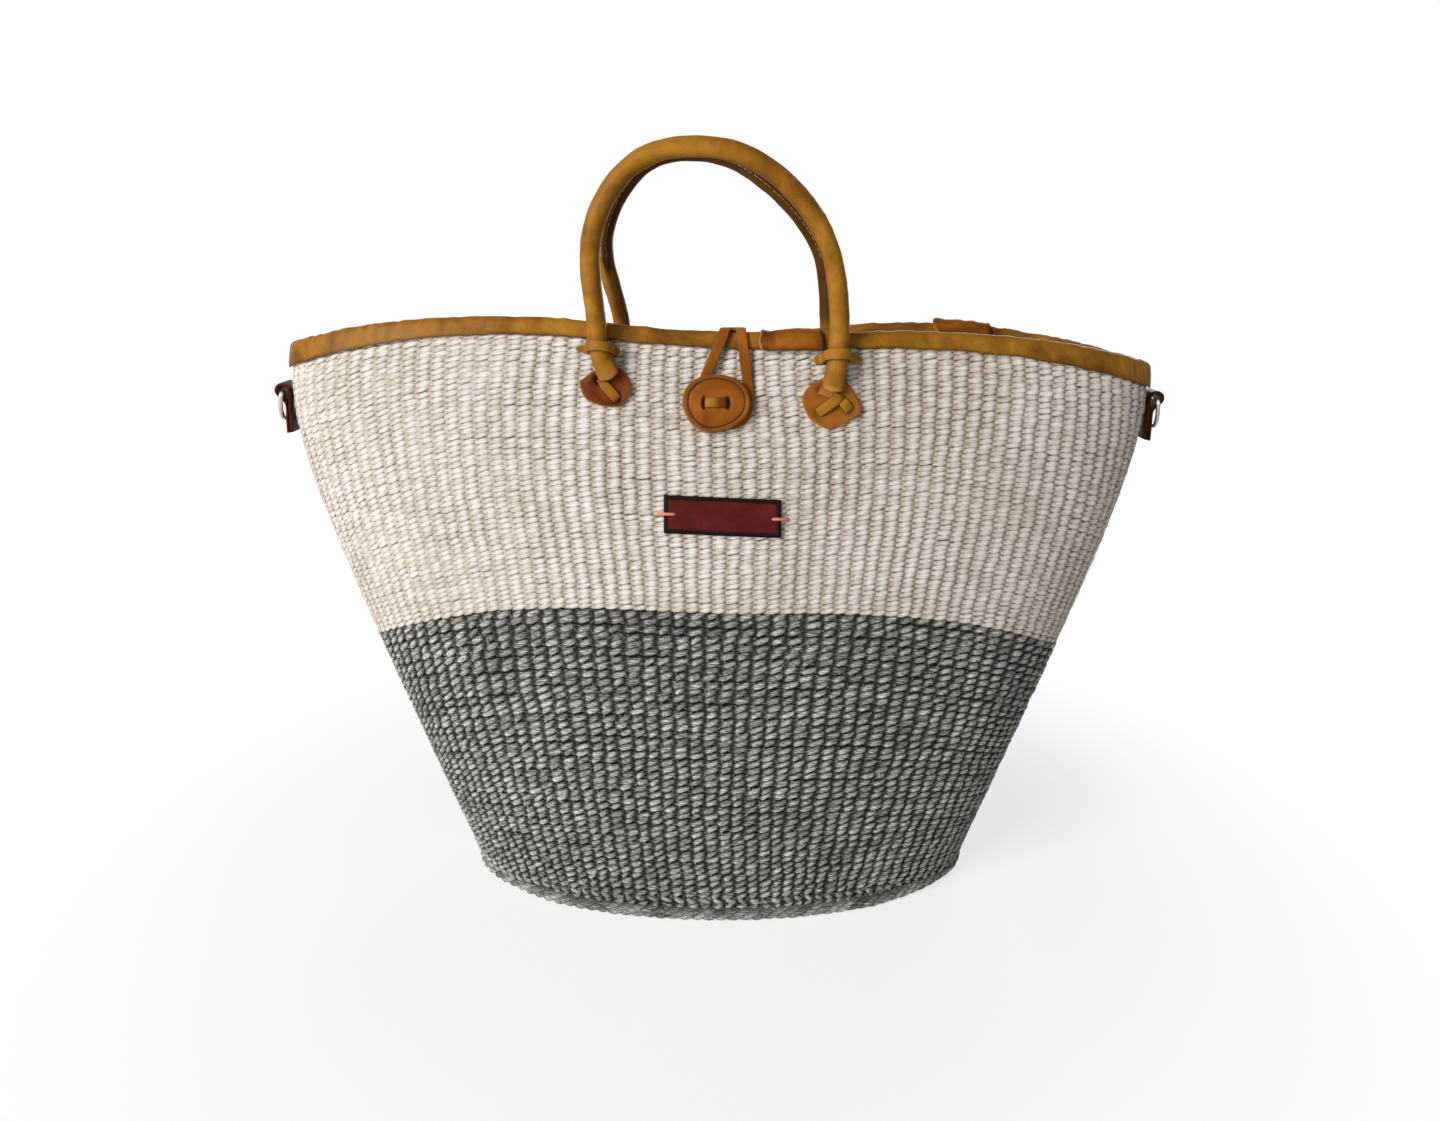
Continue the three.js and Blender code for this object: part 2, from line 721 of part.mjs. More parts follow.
function addButton() {
  const place = placeOnWall(BUTTON_X, BUTTON_Z, FRONT);
  const block = (width, height, from, to, x = 0) => {
    const geometry = new THREE.BoxGeometry(width, height, to - from);
    return weld(geometry.translate(x, 0, (from + to) / 2), place);
  };
  const legPlaces = [-BUTTON_HOLE_SPREAD, BUTTON_HOLE_SPREAD];
  const slotWidth = THONG_THICKNESS + 2 * GAP;
  const slots = legPlaces.map((x) => block(slotWidth, THONG_WIDTH + 2 * GAP, 0, 3 * buttonFront, x));
  const layer = (size, from) => {
    const outline = ovalPoints(BUTTON_HALF_WIDTH * size, BUTTON_HALF_HEIGHT * size, 32);
    const options = { depth: BUTTON_LEATHER, bevelEnabled: false };
    const oval = new THREE.ExtrudeGeometry(new THREE.Shape(outline), options);
    return cut(weld(oval.translate(0, 0, from), place), slots);
  };
  add("button_back_disc", layer(1, buttonBack), finishes.tanLeather);
  add("button_front_disc", layer(0.98, buttonMiddle), finishes.brownLeather);

  // One thread sewn round through both discs
  const stitchHeight = buttonFront + GAP + BUTTON_THREAD_RADIUS;
  const sewn = (u, v, target) => {
    const around = (u % 1) * 2 * Math.PI;
    const section = (v % 1) * 2 * Math.PI;
    const out = BUTTON_THREAD_RADIUS * Math.cos(section) - BUTTON_STITCH_INSET;
    const x = (BUTTON_HALF_WIDTH + out) * Math.cos(around);
    const y = (BUTTON_HALF_HEIGHT + out) * Math.sin(around);
    target.set(x, y, stitchHeight + BUTTON_THREAD_RADIUS * Math.sin(section));
  };
  const stitching = weld(new ParametricGeometry(sewn, 24, 4), place);
  add("button_stitching", stitching, finishes.brownThread);

  // The thong goes up through one slot and down through the other, and its two ends are drawn
  // together into a stem that goes through the wall.
  const bridge = 2 * BUTTON_HOLE_SPREAD + THONG_THICKNESS;
  const bridgeBottom = buttonFront + GAP;
  const backTop = buttonBack - GAP;
  const knotCentre = -(WALL_THICKNESS + GAP + 1.6 * STEM_RADIUS);
  const knot = new THREE.SphereGeometry(1.6 * STEM_RADIUS, 10, 6);
  const pieces = [
    block(bridge, THONG_WIDTH, bridgeBottom, bridgeBottom + THONG_THICKNESS),
    block(bridge, THONG_WIDTH, 2 * GAP, backTop),
    ...legPlaces.map((x) =>
      block(THONG_THICKNESS, THONG_WIDTH, backTop - GAP, bridgeBottom + THONG_THICKNESS / 2, x),
    ),
    peg(place, 0, 0, STEM_RADIUS, knotCentre, backTop / 2 + GAP, 10),
    weld(knot.translate(0, 0, knotCentre), place),
  ];
  add("button_thong", join(pieces), finishes.tanLeather);
  wallHoles.push(peg(place, 0, 0, STEM_RADIUS + GAP, -20, 20, 10));
}

// Closing loop: a strap sewn inside the back wall, over the front rim and forked round the stem

function addClosingLoop() {
  const middleX = STRAP_LEFT + STRAP_WIDTH / 2;
  const inside = -(WALL_THICKNESS + 4 * GAP + STRAP_THICKNESS);
  const anchorTop = STRAP_ANCHOR_LOW + STRAP_ANCHOR_LENGTH;
  const rim = rimFrame(placeOnWall(middleX, wallTop(-Math.PI / 2), FRONT).phi);
  const overRim = (degrees) => {
    const angle = THREE.MathUtils.degToRad(degrees);
    const radius = bindingRadius + 3.5 * GAP;
    return rim.centre
      .clone()
      .addScaledVector(rim.out, radius * Math.cos(angle))
      .addScaledVector(rim.along, radius * Math.sin(angle));
  };
  const footZ = bindingFoot(-Math.PI / 2).z;
  const onFront = (z, out) => outsideWall(middleX, z, FRONT, out);
  const onBack = (z) => outsideWall(middleX, z, BACK, inside);
  const line = new THREE.CatmullRomCurve3(
    [
      onBack(STRAP_ANCHOR_LOW),
      onBack(STRAP_ANCHOR_LOW + STRAP_ANCHOR_LENGTH / 2),
      onBack(anchorTop),
      overRim(150).lerp(onBack(anchorTop), 0.5),
      overRim(130),
      overRim(90),
      overRim(40),
      overRim(0),
      onFront(footZ - 2, BINDING_LEATHER + 2 * GAP + GAP),
      onFront(BUTTON_Z + 12, 2 * GAP),
      onFront(BUTTON_Z, 1.6 * GAP),
      onFront(BUTTON_Z - 10, 1.6 * GAP),
      onFront(BUTTON_Z - 20, 1.6 * GAP),
    ].map((point) => point.setX(0)),
    false,
    "centripetal",
  );
  const lengths = line.getLengths(400);
  const length = lengths[400];
  const nearest = (goal) => {
    const distances = lengths.map((at) => line.getPointAt(at / length).distanceTo(goal));
    return lengths[distances.indexOf(Math.min(...distances))];
  };
  const top = nearest(overRim(90).setX(0));
  const stem = nearest(onFront(BUTTON_Z, 0).setX(0));

  const across = new THREE.Vector3(1, 0, 0);
  const onStrap = (x, along, height) => {
    const share = THREE.MathUtils.clamp(along / length, 0, 1);
    const normal = line.getTangentAt(share).cross(across);
    return line.getPointAt(share).addScaledVector(normal, height).setX(x);
  };
  const section = (a, b, padding) => [
    onStrap(a[0], a[1], -padding),
    onStrap(a[0], a[1], STRAP_THICKNESS + padding),
    onStrap(b[0], b[1], STRAP_THICKNESS + padding),
    onStrap(b[0], b[1], -padding),
  ];
  const right = STRAP_LEFT + STRAP_WIDTH;
  const forkStart = top - STRAP_FORK_BEHIND_RIM;
  const trunkSteps = 16;
  const trunk = Array.from({ length: trunkSteps + 1 }, (_, i) => {
    const along = ((forkStart + 1) * i) / trunkSteps;
    return section([STRAP_LEFT, along], [right, along], STRAP_SWELL);
  });

  const leg = STRAP_LEG_WIDTH / 2;
  const fork = new THREE.SplineCurve(
    [
      [STRAP_LEFT + STRAP_SWELL + leg, forkStart],
      [STRAP_LEFT + STRAP_SWELL + leg, top],
      [STRAP_LEFT - 7.6, stem - 13],
      [BUTTON_X - BUTTON_HOLE_SPREAD - 5.2, stem],
      [BUTTON_X - 6, stem + 8],
      [BUTTON_X + 4, stem + 10.5],
      [right - 1.5, stem + 7],
      [right + 1.2, stem - 2],
      [right + 0.4, stem - 13],
      [right - STRAP_SWELL - leg, top],
      [right - STRAP_SWELL - leg, forkStart],
    ].map(([x, along]) => new THREE.Vector2(x, along)),
  );
  const forkSteps = 32;
  const legs = Array.from({ length: forkSteps + 1 }, (_, i) => {
    const middle = fork.getPointAt(i / forkSteps);
    const run = fork.getTangentAt(i / forkSteps);
    const sideways = new THREE.Vector2(-run.y, run.x).multiplyScalar(leg);
    const a = middle.clone().add(sideways);
    const b = middle.clone().sub(sideways);
    return section([a.x, a.y], [b.x, b.y], 0);
  });
  add("closure_loop", solid(loft(trunk)).add(solid(loft(legs))), finishes.brownLeather);
}

// Label, bent to the wall and held by a thread at each end

function addLabel() {
  const zAt = (x) => LABEL_Z - (x - LABEL_X) * Math.tan(LABEL_TILT);
  const steps = 8;
  const sections = Array.from({ length: steps + 1 }, (_, i) => {
    const x = LABEL_X + LABEL_WIDTH * (i / steps - 0.5);
    const low = zAt(x) - LABEL_HEIGHT / 2;
    const high = zAt(x) + LABEL_HEIGHT / 2;
    return [
      outsideWall(x, low, FRONT, GAP),
      outsideWall(x, low, FRONT, GAP + LABEL_THICKNESS),
      outsideWall(x, high, FRONT, GAP + LABEL_THICKNESS),
      outsideWall(x, high, FRONT, GAP),
    ];
  });
  const height = GAP + LABEL_THICKNESS + GAP + THREAD_RADIUS;
  const threads = [
    ["left", -LABEL_WIDTH / 2, 5.5, finishes.pinkThread],
    ["right", LABEL_WIDTH / 2, -4, finishes.orangeThread],
  ].map(([label, edge, inward, finish]) => {
    const x = LABEL_X + edge;
    const place = placeOnWall(x, zAt(x), FRONT);
    const ends = [-3 * Math.sign(inward), inward];
    const bar = new THREE.CylinderGeometry(THREAD_RADIUS, THREAD_RADIUS, 1, 6);
    bar.scale(1, Math.abs(ends[1] - ends[0]) + 2 * THREAD_RADIUS, 1).rotateZ(Math.PI / 2);
    bar.translate((ends[0] + ends[1]) / 2, 0, height);
    const legs = ends.map((at) =>
      peg(place, at, 0, THREAD_RADIUS, -(WALL_THICKNESS + 2 * THREAD_RADIUS), height, 6),
    );
    add("label_thread_" + label, join([weld(bar, place), ...legs]), finish);
    drillWall(place, ends.map((at) => [at, 0]), THREAD_RADIUS);
    return hole(place, inward, 0, THREAD_RADIUS);
  });
  add("label", cut(loft(sections), threads), finishes.labelLeather);
}

// Side tabs: a strap folded over the straight bar of a ring, sewn on by its doubled tail

function addSideRing(label, phi, drop) {
  const top = bindingFoot(phi).z - drop;
  const place = placeAt(phi, rowAt(phi, top));
  const inner = GAP + TAB_LEATHER;
  const slit = inner + TAB_SLIT;
  const outer = slit + TAB_LEATHER;
  const foldRadius = TAB_EYE_RADIUS + TAB_LEATHER;
  const eye = new THREE.Vector2(inner + TAB_EYE_RADIUS, -foldRadius);
  const closing = -Math.PI / 3;
  const neck = eye.y - TAB_EYE_RADIUS;
  const profile = new THREE.Shape();
  profile.moveTo(GAP, -TAB_LENGTH);
  profile.lineTo(inner, -TAB_LENGTH);
  profile.lineTo(inner, eye.y);
  profile.absarc(eye.x, eye.y, TAB_EYE_RADIUS, Math.PI, closing, true);
  profile.lineTo(slit, neck - TAB_LEATHER);
  profile.lineTo(slit, -TAB_LENGTH);
  profile.lineTo(outer, -TAB_LENGTH);
  profile.lineTo(outer, neck - 2.2 * TAB_LEATHER);
  profile.absarc(eye.x, eye.y, foldRadius, closing, Math.PI, false);
  const strap = new THREE.ExtrudeGeometry(profile, {
    depth: TAB_WIDTH,
    curveSegments: 7,
    bevelEnabled: false,
  });
  // Profile x is outwards, y is up the wall and the extrusion runs along the wall.
  strap.translate(0, 0, -TAB_WIDTH / 2).rotateY(-Math.PI / 2);

  const threadY = -0.75 * TAB_LENGTH;
  const threadHalf = TAB_WIDTH / 4;
  const height = outer + GAP + THREAD_RADIUS;
  const bar = new THREE.CylinderGeometry(THREAD_RADIUS, THREAD_RADIUS, 1, 6);
  bar.scale(1, 2 * threadHalf + 2 * THREAD_RADIUS, 1).rotateZ(Math.PI / 2);
  bar.translate(0, threadY, height);
  const ends = [
    [-threadHalf, threadY],
    [threadHalf, threadY],
  ];
  const threadDepth = -(WALL_THICKNESS + 3 * THREAD_RADIUS);
  const legs = ends.map(([x, y]) => peg(place, x, y, THREAD_RADIUS, threadDepth, height, 6));
  add(label + "_tab_thread", join([weld(bar, place), ...legs]), finishes.brownThread);
  drillWall(place, ends, THREAD_RADIUS);
  const tabHoles = ends.map(([x, y]) => hole(place, x, y, THREAD_RADIUS));
  add(label + "_ring_tab", cut(weld(strap, place), tabHoles), finishes.darkLeather);

  // The bar rests low in the eye, and the bow hangs in front of the tail.
  const play = TAB_EYE_RADIUS - RING_WIRE_RADIUS - GAP;
  const pin = new THREE.Vector2(-0.2, -1).setLength(play).add(eye);
  const halfBar = TAB_WIDTH / 2 + RING_WIRE_RADIUS + RING_SIDE_PLAY;
  const bowOut = outer + 2 * GAP + THREAD_RADIUS * 2 + RING_WIRE_RADIUS - pin.x;
  const swing = Math.asin(bowOut / RING_DEPTH);
  const bow = new THREE.CatmullRomCurve3(
    Array.from({ length: 13 }, (_, i) => {
      const angle = Math.PI * (1 + i / 12);
      return new THREE.Vector3(halfBar * Math.cos(angle), RING_DEPTH * Math.sin(angle), 0);
    }),
  );
  const straight = new THREE.CylinderGeometry(RING_WIRE_RADIUS, RING_WIRE_RADIUS, 2 * halfBar, 6);
  straight.rotateZ(Math.PI / 2);
  const corners = [-halfBar, halfBar].map((x) =>
    new THREE.SphereGeometry(RING_WIRE_RADIUS, 6, 4).translate(x, 0, 0),
  );
  const wire = [tube(bow, RING_WIRE_RADIUS, 14, 6), straight, ...corners].map((piece) =>
    weld(weld(piece).rotateX(-swing).translate(0, pin.y, pin.x), place),
  );
  add(label + "_ring", join(wire), finishes.nickel);
}

addBase();
addRim();
addHandle(
  "front",
  FRONT,
  FRONT_HANDLE_X,
  FRONT_HANDLE_RISE,
  FRONT_HANDLE_LEAN,
  FRONT_HANDLE_SWELL,
);
addHandle("back", BACK, BACK_HANDLE_X, BACK_HANDLE_RISE, BACK_HANDLE_LEAN, BACK_HANDLE_SWELL);
addButton();
addClosingLoop();
addLabel();
addSideRing("right", 0, RIGHT_TAB_DROP);
addSideRing("left", Math.PI, LEFT_TAB_DROP);
addWall();

export default bag;
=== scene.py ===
"""Looks of a sisal basket bag: twined wall in two colours, leather rim, handles, button and fittings.

Lengths in this script are millimetres until a mesh is made, and turn into metres there. X runs to the
right, Y from the front wall to the back wall, Z is up, and the origin is under the middle of the base.
"""

import logging
import math
from collections.abc import Callable
from dataclasses import dataclass, field
from enum import Enum

import bmesh
import bpy
import numpy as np
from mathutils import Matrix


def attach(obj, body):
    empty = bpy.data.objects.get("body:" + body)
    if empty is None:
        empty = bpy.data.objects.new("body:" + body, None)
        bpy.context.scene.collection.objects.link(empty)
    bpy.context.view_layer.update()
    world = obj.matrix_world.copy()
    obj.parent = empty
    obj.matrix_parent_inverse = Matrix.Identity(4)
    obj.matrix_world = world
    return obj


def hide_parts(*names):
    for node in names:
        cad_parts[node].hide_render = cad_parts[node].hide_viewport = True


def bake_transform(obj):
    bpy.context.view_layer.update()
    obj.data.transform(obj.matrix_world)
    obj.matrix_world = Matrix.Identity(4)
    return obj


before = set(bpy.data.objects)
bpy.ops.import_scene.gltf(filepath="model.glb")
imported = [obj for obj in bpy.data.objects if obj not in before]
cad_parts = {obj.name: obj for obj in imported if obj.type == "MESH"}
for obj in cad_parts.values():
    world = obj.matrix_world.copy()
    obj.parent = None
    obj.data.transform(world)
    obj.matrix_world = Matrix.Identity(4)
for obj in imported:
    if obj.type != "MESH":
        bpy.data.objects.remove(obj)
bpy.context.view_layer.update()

log = logging.getLogger("basket_bag")

MM = 0.001
TURN = 2 * np.pi
GAP = 0.3  # the clearance that the solids keep from each other
COLOUR_LINE = 0.582  # the row of the weave where grey ends and cream starts
STRAP_ROUNDING = 0.4  # 1 is an oval section, 0 a square one
CLOUD = 128  # the size of the table of random heights
UNCREASED = 180.0  # no edge of a strand or fibre is sharp
CURVE_STEPS = 24  # points between two given points of a smooth line
Points = np.ndarray
Mesh = bpy.types.Mesh


class Direction(Enum):
    """A direction, with a sign for its value and a word for the names of pieces."""

    @property
    def word(self) -> str:
        """The name in small letters."""
        return self.name.lower()


class Side(Direction):
    """The two long walls of the bag, with the sign of Y there."""

    FRONT = -1
    BACK = 1


class End(Direction):
    """The two ends of the bag and legs of a handle, with the sign of X there."""

    LEFT = -1
    RIGHT = 1


def unit(vectors: Points) -> Points:
    """Vectors scaled to length one."""
    return vectors / np.linalg.norm(vectors, axis=-1, keepdims=True)


def run_lengths(line: Points) -> Points:
    """The length of a line up to each of its points."""
    steps = np.linalg.norm(np.diff(line, axis=0), axis=-1)
    return np.concatenate([[0], np.cumsum(steps)])


def smooth_step(low: float, high: float, values: Points) -> Points:
    """A rise from 0 at low to 1 at high with level ends."""
    share = np.clip((values - low) / (high - low), 0, 1)
    return share * share * (3 - 2 * share)


@dataclass(frozen=True)
class Place:
    """A spot on the wall with its right, upward and outward directions."""

    origin: Points
    right: Points
    along: Points
    out: Points

    def at(self, x: Points, y: Points, z: Points) -> Points:
        """The point x to the right, y up the wall and z outwards."""
        x, y, z = np.broadcast_arrays(x, y, z)
        return self.origin + x[..., None] * self.right + y[..., None] * self.along + z[..., None] * self.out


@dataclass(frozen=True)
class BagForm:
    """The wall of the bag as a surface, from the sizes that the solids have.

    phi goes round it, 0 at the right end and below zero on the front wall, and row goes up it from 0 at
    the base to 1 at the rim, along the rows of the weave.
    """

    wall_thickness: float = 4.0
    base_half_width: float = 146.5
    base_half_depth: float = 68.0
    base_thickness: float = 5.0
    rim_half_depth: float = 36.0
    end_flare: float = 104.5
    end_tuck: float = 17.0
    end_tuck_power: int = 8
    full_flare: float = 0.907
    depth_bulge: float = 24.0
    rim_end_fullness: float = 0.35
    row_sag: float = 30.0
    row_sag_power: float = 2.5
    rim_crest: float = 333.0
    rim_end_fall: float = 20.0
    rim_lean: float = 5.5
    front_rim_dip: float = 6.0
    back_rim_dip: float = 13.0
    front_dip_spread: float = 0.36
    back_dip_spread: float = 0.35
    back_left_slump: float = 7.5
    cord_radius: float = 2.0
    binding_leather: float = 1.5
    binding_overlap_middle: float = 2.9
    binding_overlap_end: float = 8.5
    step: float = 1e-3
    samples: int = 1441

    @property
    def binding_radius(self) -> float:
        """The outer radius of the binding over the rim cord."""
        return self.cord_radius + GAP + self.binding_leather

    def rim_top(self, phi: Points) -> Points:
        """The height of the binding's crest."""
        across = np.cos(phi)
        is_front = np.sin(phi) < 0
        dip = np.where(is_front, self.front_rim_dip, self.back_rim_dip)
        spread = np.where(is_front, self.front_dip_spread, self.back_dip_spread)
        fall = self.rim_end_fall * across**4 + dip * np.exp(-((across / spread) ** 2))
        slumps = ~is_front & (across < 0)
        slump = np.where(slumps, self.back_left_slump * np.sin(np.pi * across) ** 2, 0)
        return self.rim_crest - fall - slump - self.rim_lean * np.sin(np.pi / 2 * across)

    def wall_top(self, phi: Points) -> Points:
        """The height of the wall's upper edge, inside the binding."""
        return self.rim_top(phi) - 2 * (self.cord_radius + GAP) - self.binding_leather

    def sag_at(self, phi: Points) -> Points:
        """How far a middle row hangs below a level one, times four."""
        return 4 * self.row_sag * np.abs(np.cos(phi)) ** self.row_sag_power

    def half_width(self, z: Points) -> Points:
        """Half the bag's width at a height. The flare is full at a share of the crest's height."""
        share = z / (self.full_flare * self.rim_crest)
        return self.base_half_width + self.end_flare * share - self.end_tuck * share**self.end_tuck_power

    def half_depth(self, z: Points) -> Points:
        """Half the bag's depth at a height."""
        share = z / self.rim_crest
        slope = self.base_half_depth + (self.rim_half_depth - self.base_half_depth) * share
        return slope + self.depth_bulge * np.sin(np.pi * share)

    def skin(self, phi: Points, row: Points) -> Points:
        """A point on the outer face of the wall."""
        phi, row = np.broadcast_arrays(phi, row)
        z = row * self.wall_top(phi) - self.sag_at(phi) * row * (1 - row)
        fullness = self.rim_end_fullness * (z / self.rim_crest) ** 2 * np.cos(phi) ** 2
        x = self.half_width(z) * np.cos(phi)
        y = self.half_depth(z) * np.sin(phi) * (1 + fullness)
        return np.stack([x, y, z], axis=-1)

    def row_at(self, phi: Points, z: Points) -> Points:
        """The row that passes a height."""
        sag = self.sag_at(phi)
        rate = self.wall_top(phi) - sag
        return 2 * z / (rate + np.sqrt(rate * rate + 4 * sag * z))

    def around(self, phi: Points, row: Points) -> Points:
        """The direction round the wall, along a row."""
        return self.skin(phi + self.step, row) - self.skin(phi - self.step, row)

    def upward(self, phi: Points, row: Points) -> Points:
        """The direction up the wall, across the rows."""
        return self.skin(phi, row + self.step) - self.skin(phi, row - self.step)

    def outward(self, phi: Points, row: Points) -> Points:
        """The outward direction, square to the wall."""
        return unit(np.cross(self.around(phi, row), self.upward(phi, row)))

    def wall_point(self, phi: Points, row: Points, out: Points = 0.0) -> Points:
        """A point at a distance outside the outer face."""
        return self.skin(phi, row) + np.asarray(out)[..., None] * self.outward(phi, row)

    def strand_point(self, phi: Points, row: Points, out: Points, up: Points) -> Points:
        """A point at a distance outside the outer face and another up from its row."""
        return self.wall_point(phi, row, out) + up[..., None] * unit(self.upward(phi, row))

    def row_below_top(self, phi: Points, down: Points) -> Points:
        """The row that lies a length below the upper edge."""
        return 1 - down * 2 * self.step / np.linalg.norm(self.upward(phi, 1.0), axis=-1)

    def binding_foot_row(self, phi: Points) -> Points:
        """The row at the lower edge of the binding."""
        extra = self.binding_overlap_end - self.binding_overlap_middle
        return self.row_below_top(phi, self.binding_overlap_middle + extra * np.cos(phi) ** 2)

    def binding_foot(self, phi: Points, out: Points = 0.0) -> Points:
        """A point at the lower edge of the binding."""
        return self.wall_point(phi, self.binding_foot_row(phi), out)

    def phi_at(self, x: Points, z: Points, side: Side) -> Points:
        """The angle of a place on the front or back wall."""
        return side.value * np.arccos(np.clip(x / self.half_width(z), -1, 1))

    def place_at(self, phi: float, row: float) -> Place:
        """The place at an angle and a row."""
        origin = self.skin(phi, row)
        out = self.outward(phi, row)
        right = unit(np.cross([0, 0, 1], out))
        return Place(origin, right, np.cross(out, right), out)

    def place_on_wall(self, x: float, z: float, side: Side) -> Place:
        """The place at a distance across and a height."""
        phi = self.phi_at(x, z, side)
        return self.place_at(phi, self.row_at(phi, z))

    def outside_wall(self, x: Points, z: Points, side: Side, out: Points) -> Points:
        """Points over the front or back wall."""
        phi = self.phi_at(x, z, side)
        return self.wall_point(phi, self.row_at(phi, z), out)

    def rim_frame(self, phi: Points) -> tuple[Points, Points, Points]:
        """The middle of the rim cord, with the directions up the wall and out of it."""
        along = unit(self.upward(phi, 1.0))
        out = unit(np.cross(self.around(phi, 1.0), along))
        edge = self.wall_point(phi, 1.0, -self.wall_thickness / 2)
        return edge + (GAP + self.cord_radius) * along, along, out

    def even_phis(self, row: float, shares: Points) -> Points:
        """The angles of points that are spaced evenly along a row.

        Args:
            row: The row.
            shares: Distances along it from the right end, as shares of its length.

        Returns:
            The angle of each point.
        """
        phi = np.linspace(0, TURN, self.samples)
        length = run_lengths(self.skin(phi, row))
        whole, part = np.divmod(shares, 1)
        return TURN * whole + np.interp(part * length[-1], length, phi)


FORM = BagForm()


def linear(colour: str) -> tuple[float, float, float, float]:
    """An sRGB hex colour as linear red, green, blue and alpha."""
    channels = [int(colour[i : i + 2], 16) / 255 for i in (0, 2, 4)]
    values = [c / 12.92 if c <= 0.04045 else ((c + 0.055) / 1.055) ** 2.4 for c in channels]
    return (values[0], values[1], values[2], 1.0)


def add_node(
    tree: bpy.types.NodeTree,
    kind: str,
    inputs: dict[str | int, object] | None = None,
    stops: list[tuple[float, str]] | None = None,
    **settings: object,
) -> bpy.types.Node:
    """Adds a shader node with its settings and links.

    Args:
        tree: The node tree.
        kind: The node's type without its ShaderNode prefix.
        inputs: By name or number, values, sockets, or nodes that give their first output.
        stops: Places and sRGB colours for a colour ramp.
        settings: Other properties of the node.

    Returns:
        The new node.
    """
    node = tree.nodes.new("ShaderNode" + kind)
    for name, value in settings.items():
        setattr(node, name, value)
    for name, value in (inputs or {}).items():
        if isinstance(value, bpy.types.Node):
            value = value.outputs[0]
        if isinstance(value, bpy.types.NodeSocket):
            tree.links.new(value, node.inputs[name])
        else:
            node.inputs[name].default_value = value
    for index, (position, colour) in enumerate(stops or []):
        elements = node.color_ramp.elements  # a new ramp has two
        element = elements[index] if index < 2 else elements.new(position)
        element.position = position
        element.color = linear(colour)
    return node


def new_material(name: str) -> tuple[bpy.types.Material, bpy.types.NodeTree]:
    """An empty material and its tree."""
    material = bpy.data.materials.new(name)
    material.use_nodes = True
    material.node_tree.nodes.clear()
    return material, material.node_tree


@dataclass(frozen=True)
class Finish:
    """A material with one shader. Each kind of finish says what feeds the shader."""

    name: str

    def feeds(self, tree: bpy.types.NodeTree) -> dict[str | int, object]:
        """Adds the nodes before the shader and gives the shader's inputs."""
        raise NotImplementedError

    def build(self) -> bpy.types.Material:
        """Makes the material."""
        material, tree = new_material(self.name)
        shader = add_node(tree, "BsdfPrincipled", self.feeds(tree))
        add_node(tree, "OutputMaterial", {"Surface": shader})
        return material


@dataclass(frozen=True)
class SisalFinish(Finish):
    """Spun sisal: pale plant fibre, dyed or left raw, matt and streaky along each strand.

    The fibres show as fine streaks along the strand, and the dye takes unevenly from stitch to stitch. The
    deep colour is painted shade: it darkens the ends of a stitch, where it dives between its neighbours,
    and the gaps between stitches.
    """

    # deep is the colour of the painted shade between the stitches
    deep: str
    dark: str
    middle: str
    light: str
    fibre_width: float = 0.5
    fibre_length: float = 6.0
    contrast: float = 0.42
    roughness: float = 0.9
    bump: float = 0.5

    def feeds(self, tree: bpy.types.NodeTree) -> dict[str | int, object]:
        """Streaks of three tones along the fibres, with painted shade in the depth between stitches."""
        fibre, tone, depth = (
            add_node(tree, "Attribute", attribute_name=name).outputs for name in ("fibre", "tone", "depth")
        )
        stretch = (1 / self.fibre_width, 1 / self.fibre_width, 1 / self.fibre_length)
        place = add_node(tree, "Mapping", {"Vector": fibre["Vector"], "Scale": stretch})
        streak = add_node(tree, "TexNoise", {"Vector": place, "Scale": 1.0, "Detail": 3.0, "Roughness": 0.6})
        limits = {"From Min": 0.3, "From Max": 0.7, "To Min": -self.contrast, "To Max": self.contrast}
        spread = add_node(tree, "MapRange", {"Value": streak, **limits})
        mixed = add_node(tree, "Math", {0: tone["Fac"], 1: spread}, operation="ADD")
        stops = [(0.0, self.dark), (1.0, self.light), (0.5, self.middle)]
        surface = add_node(tree, "ValToRGB", {"Fac": mixed}, stops)
        shaded = {"Fac": depth["Fac"], "Color1": surface, "Color2": linear(self.deep)}
        colour = add_node(tree, "MixRGB", shaded)
        relief = add_node(tree, "Bump", {"Height": streak, "Strength": self.bump, "Distance": 0.4 * MM})
        return {
            "Base Color": colour, "Roughness": self.roughness, "Specular IOR Level": 0.2,
            "Sheen Weight": 0.15, "Sheen Roughness": 0.6, "Normal": relief,
        }


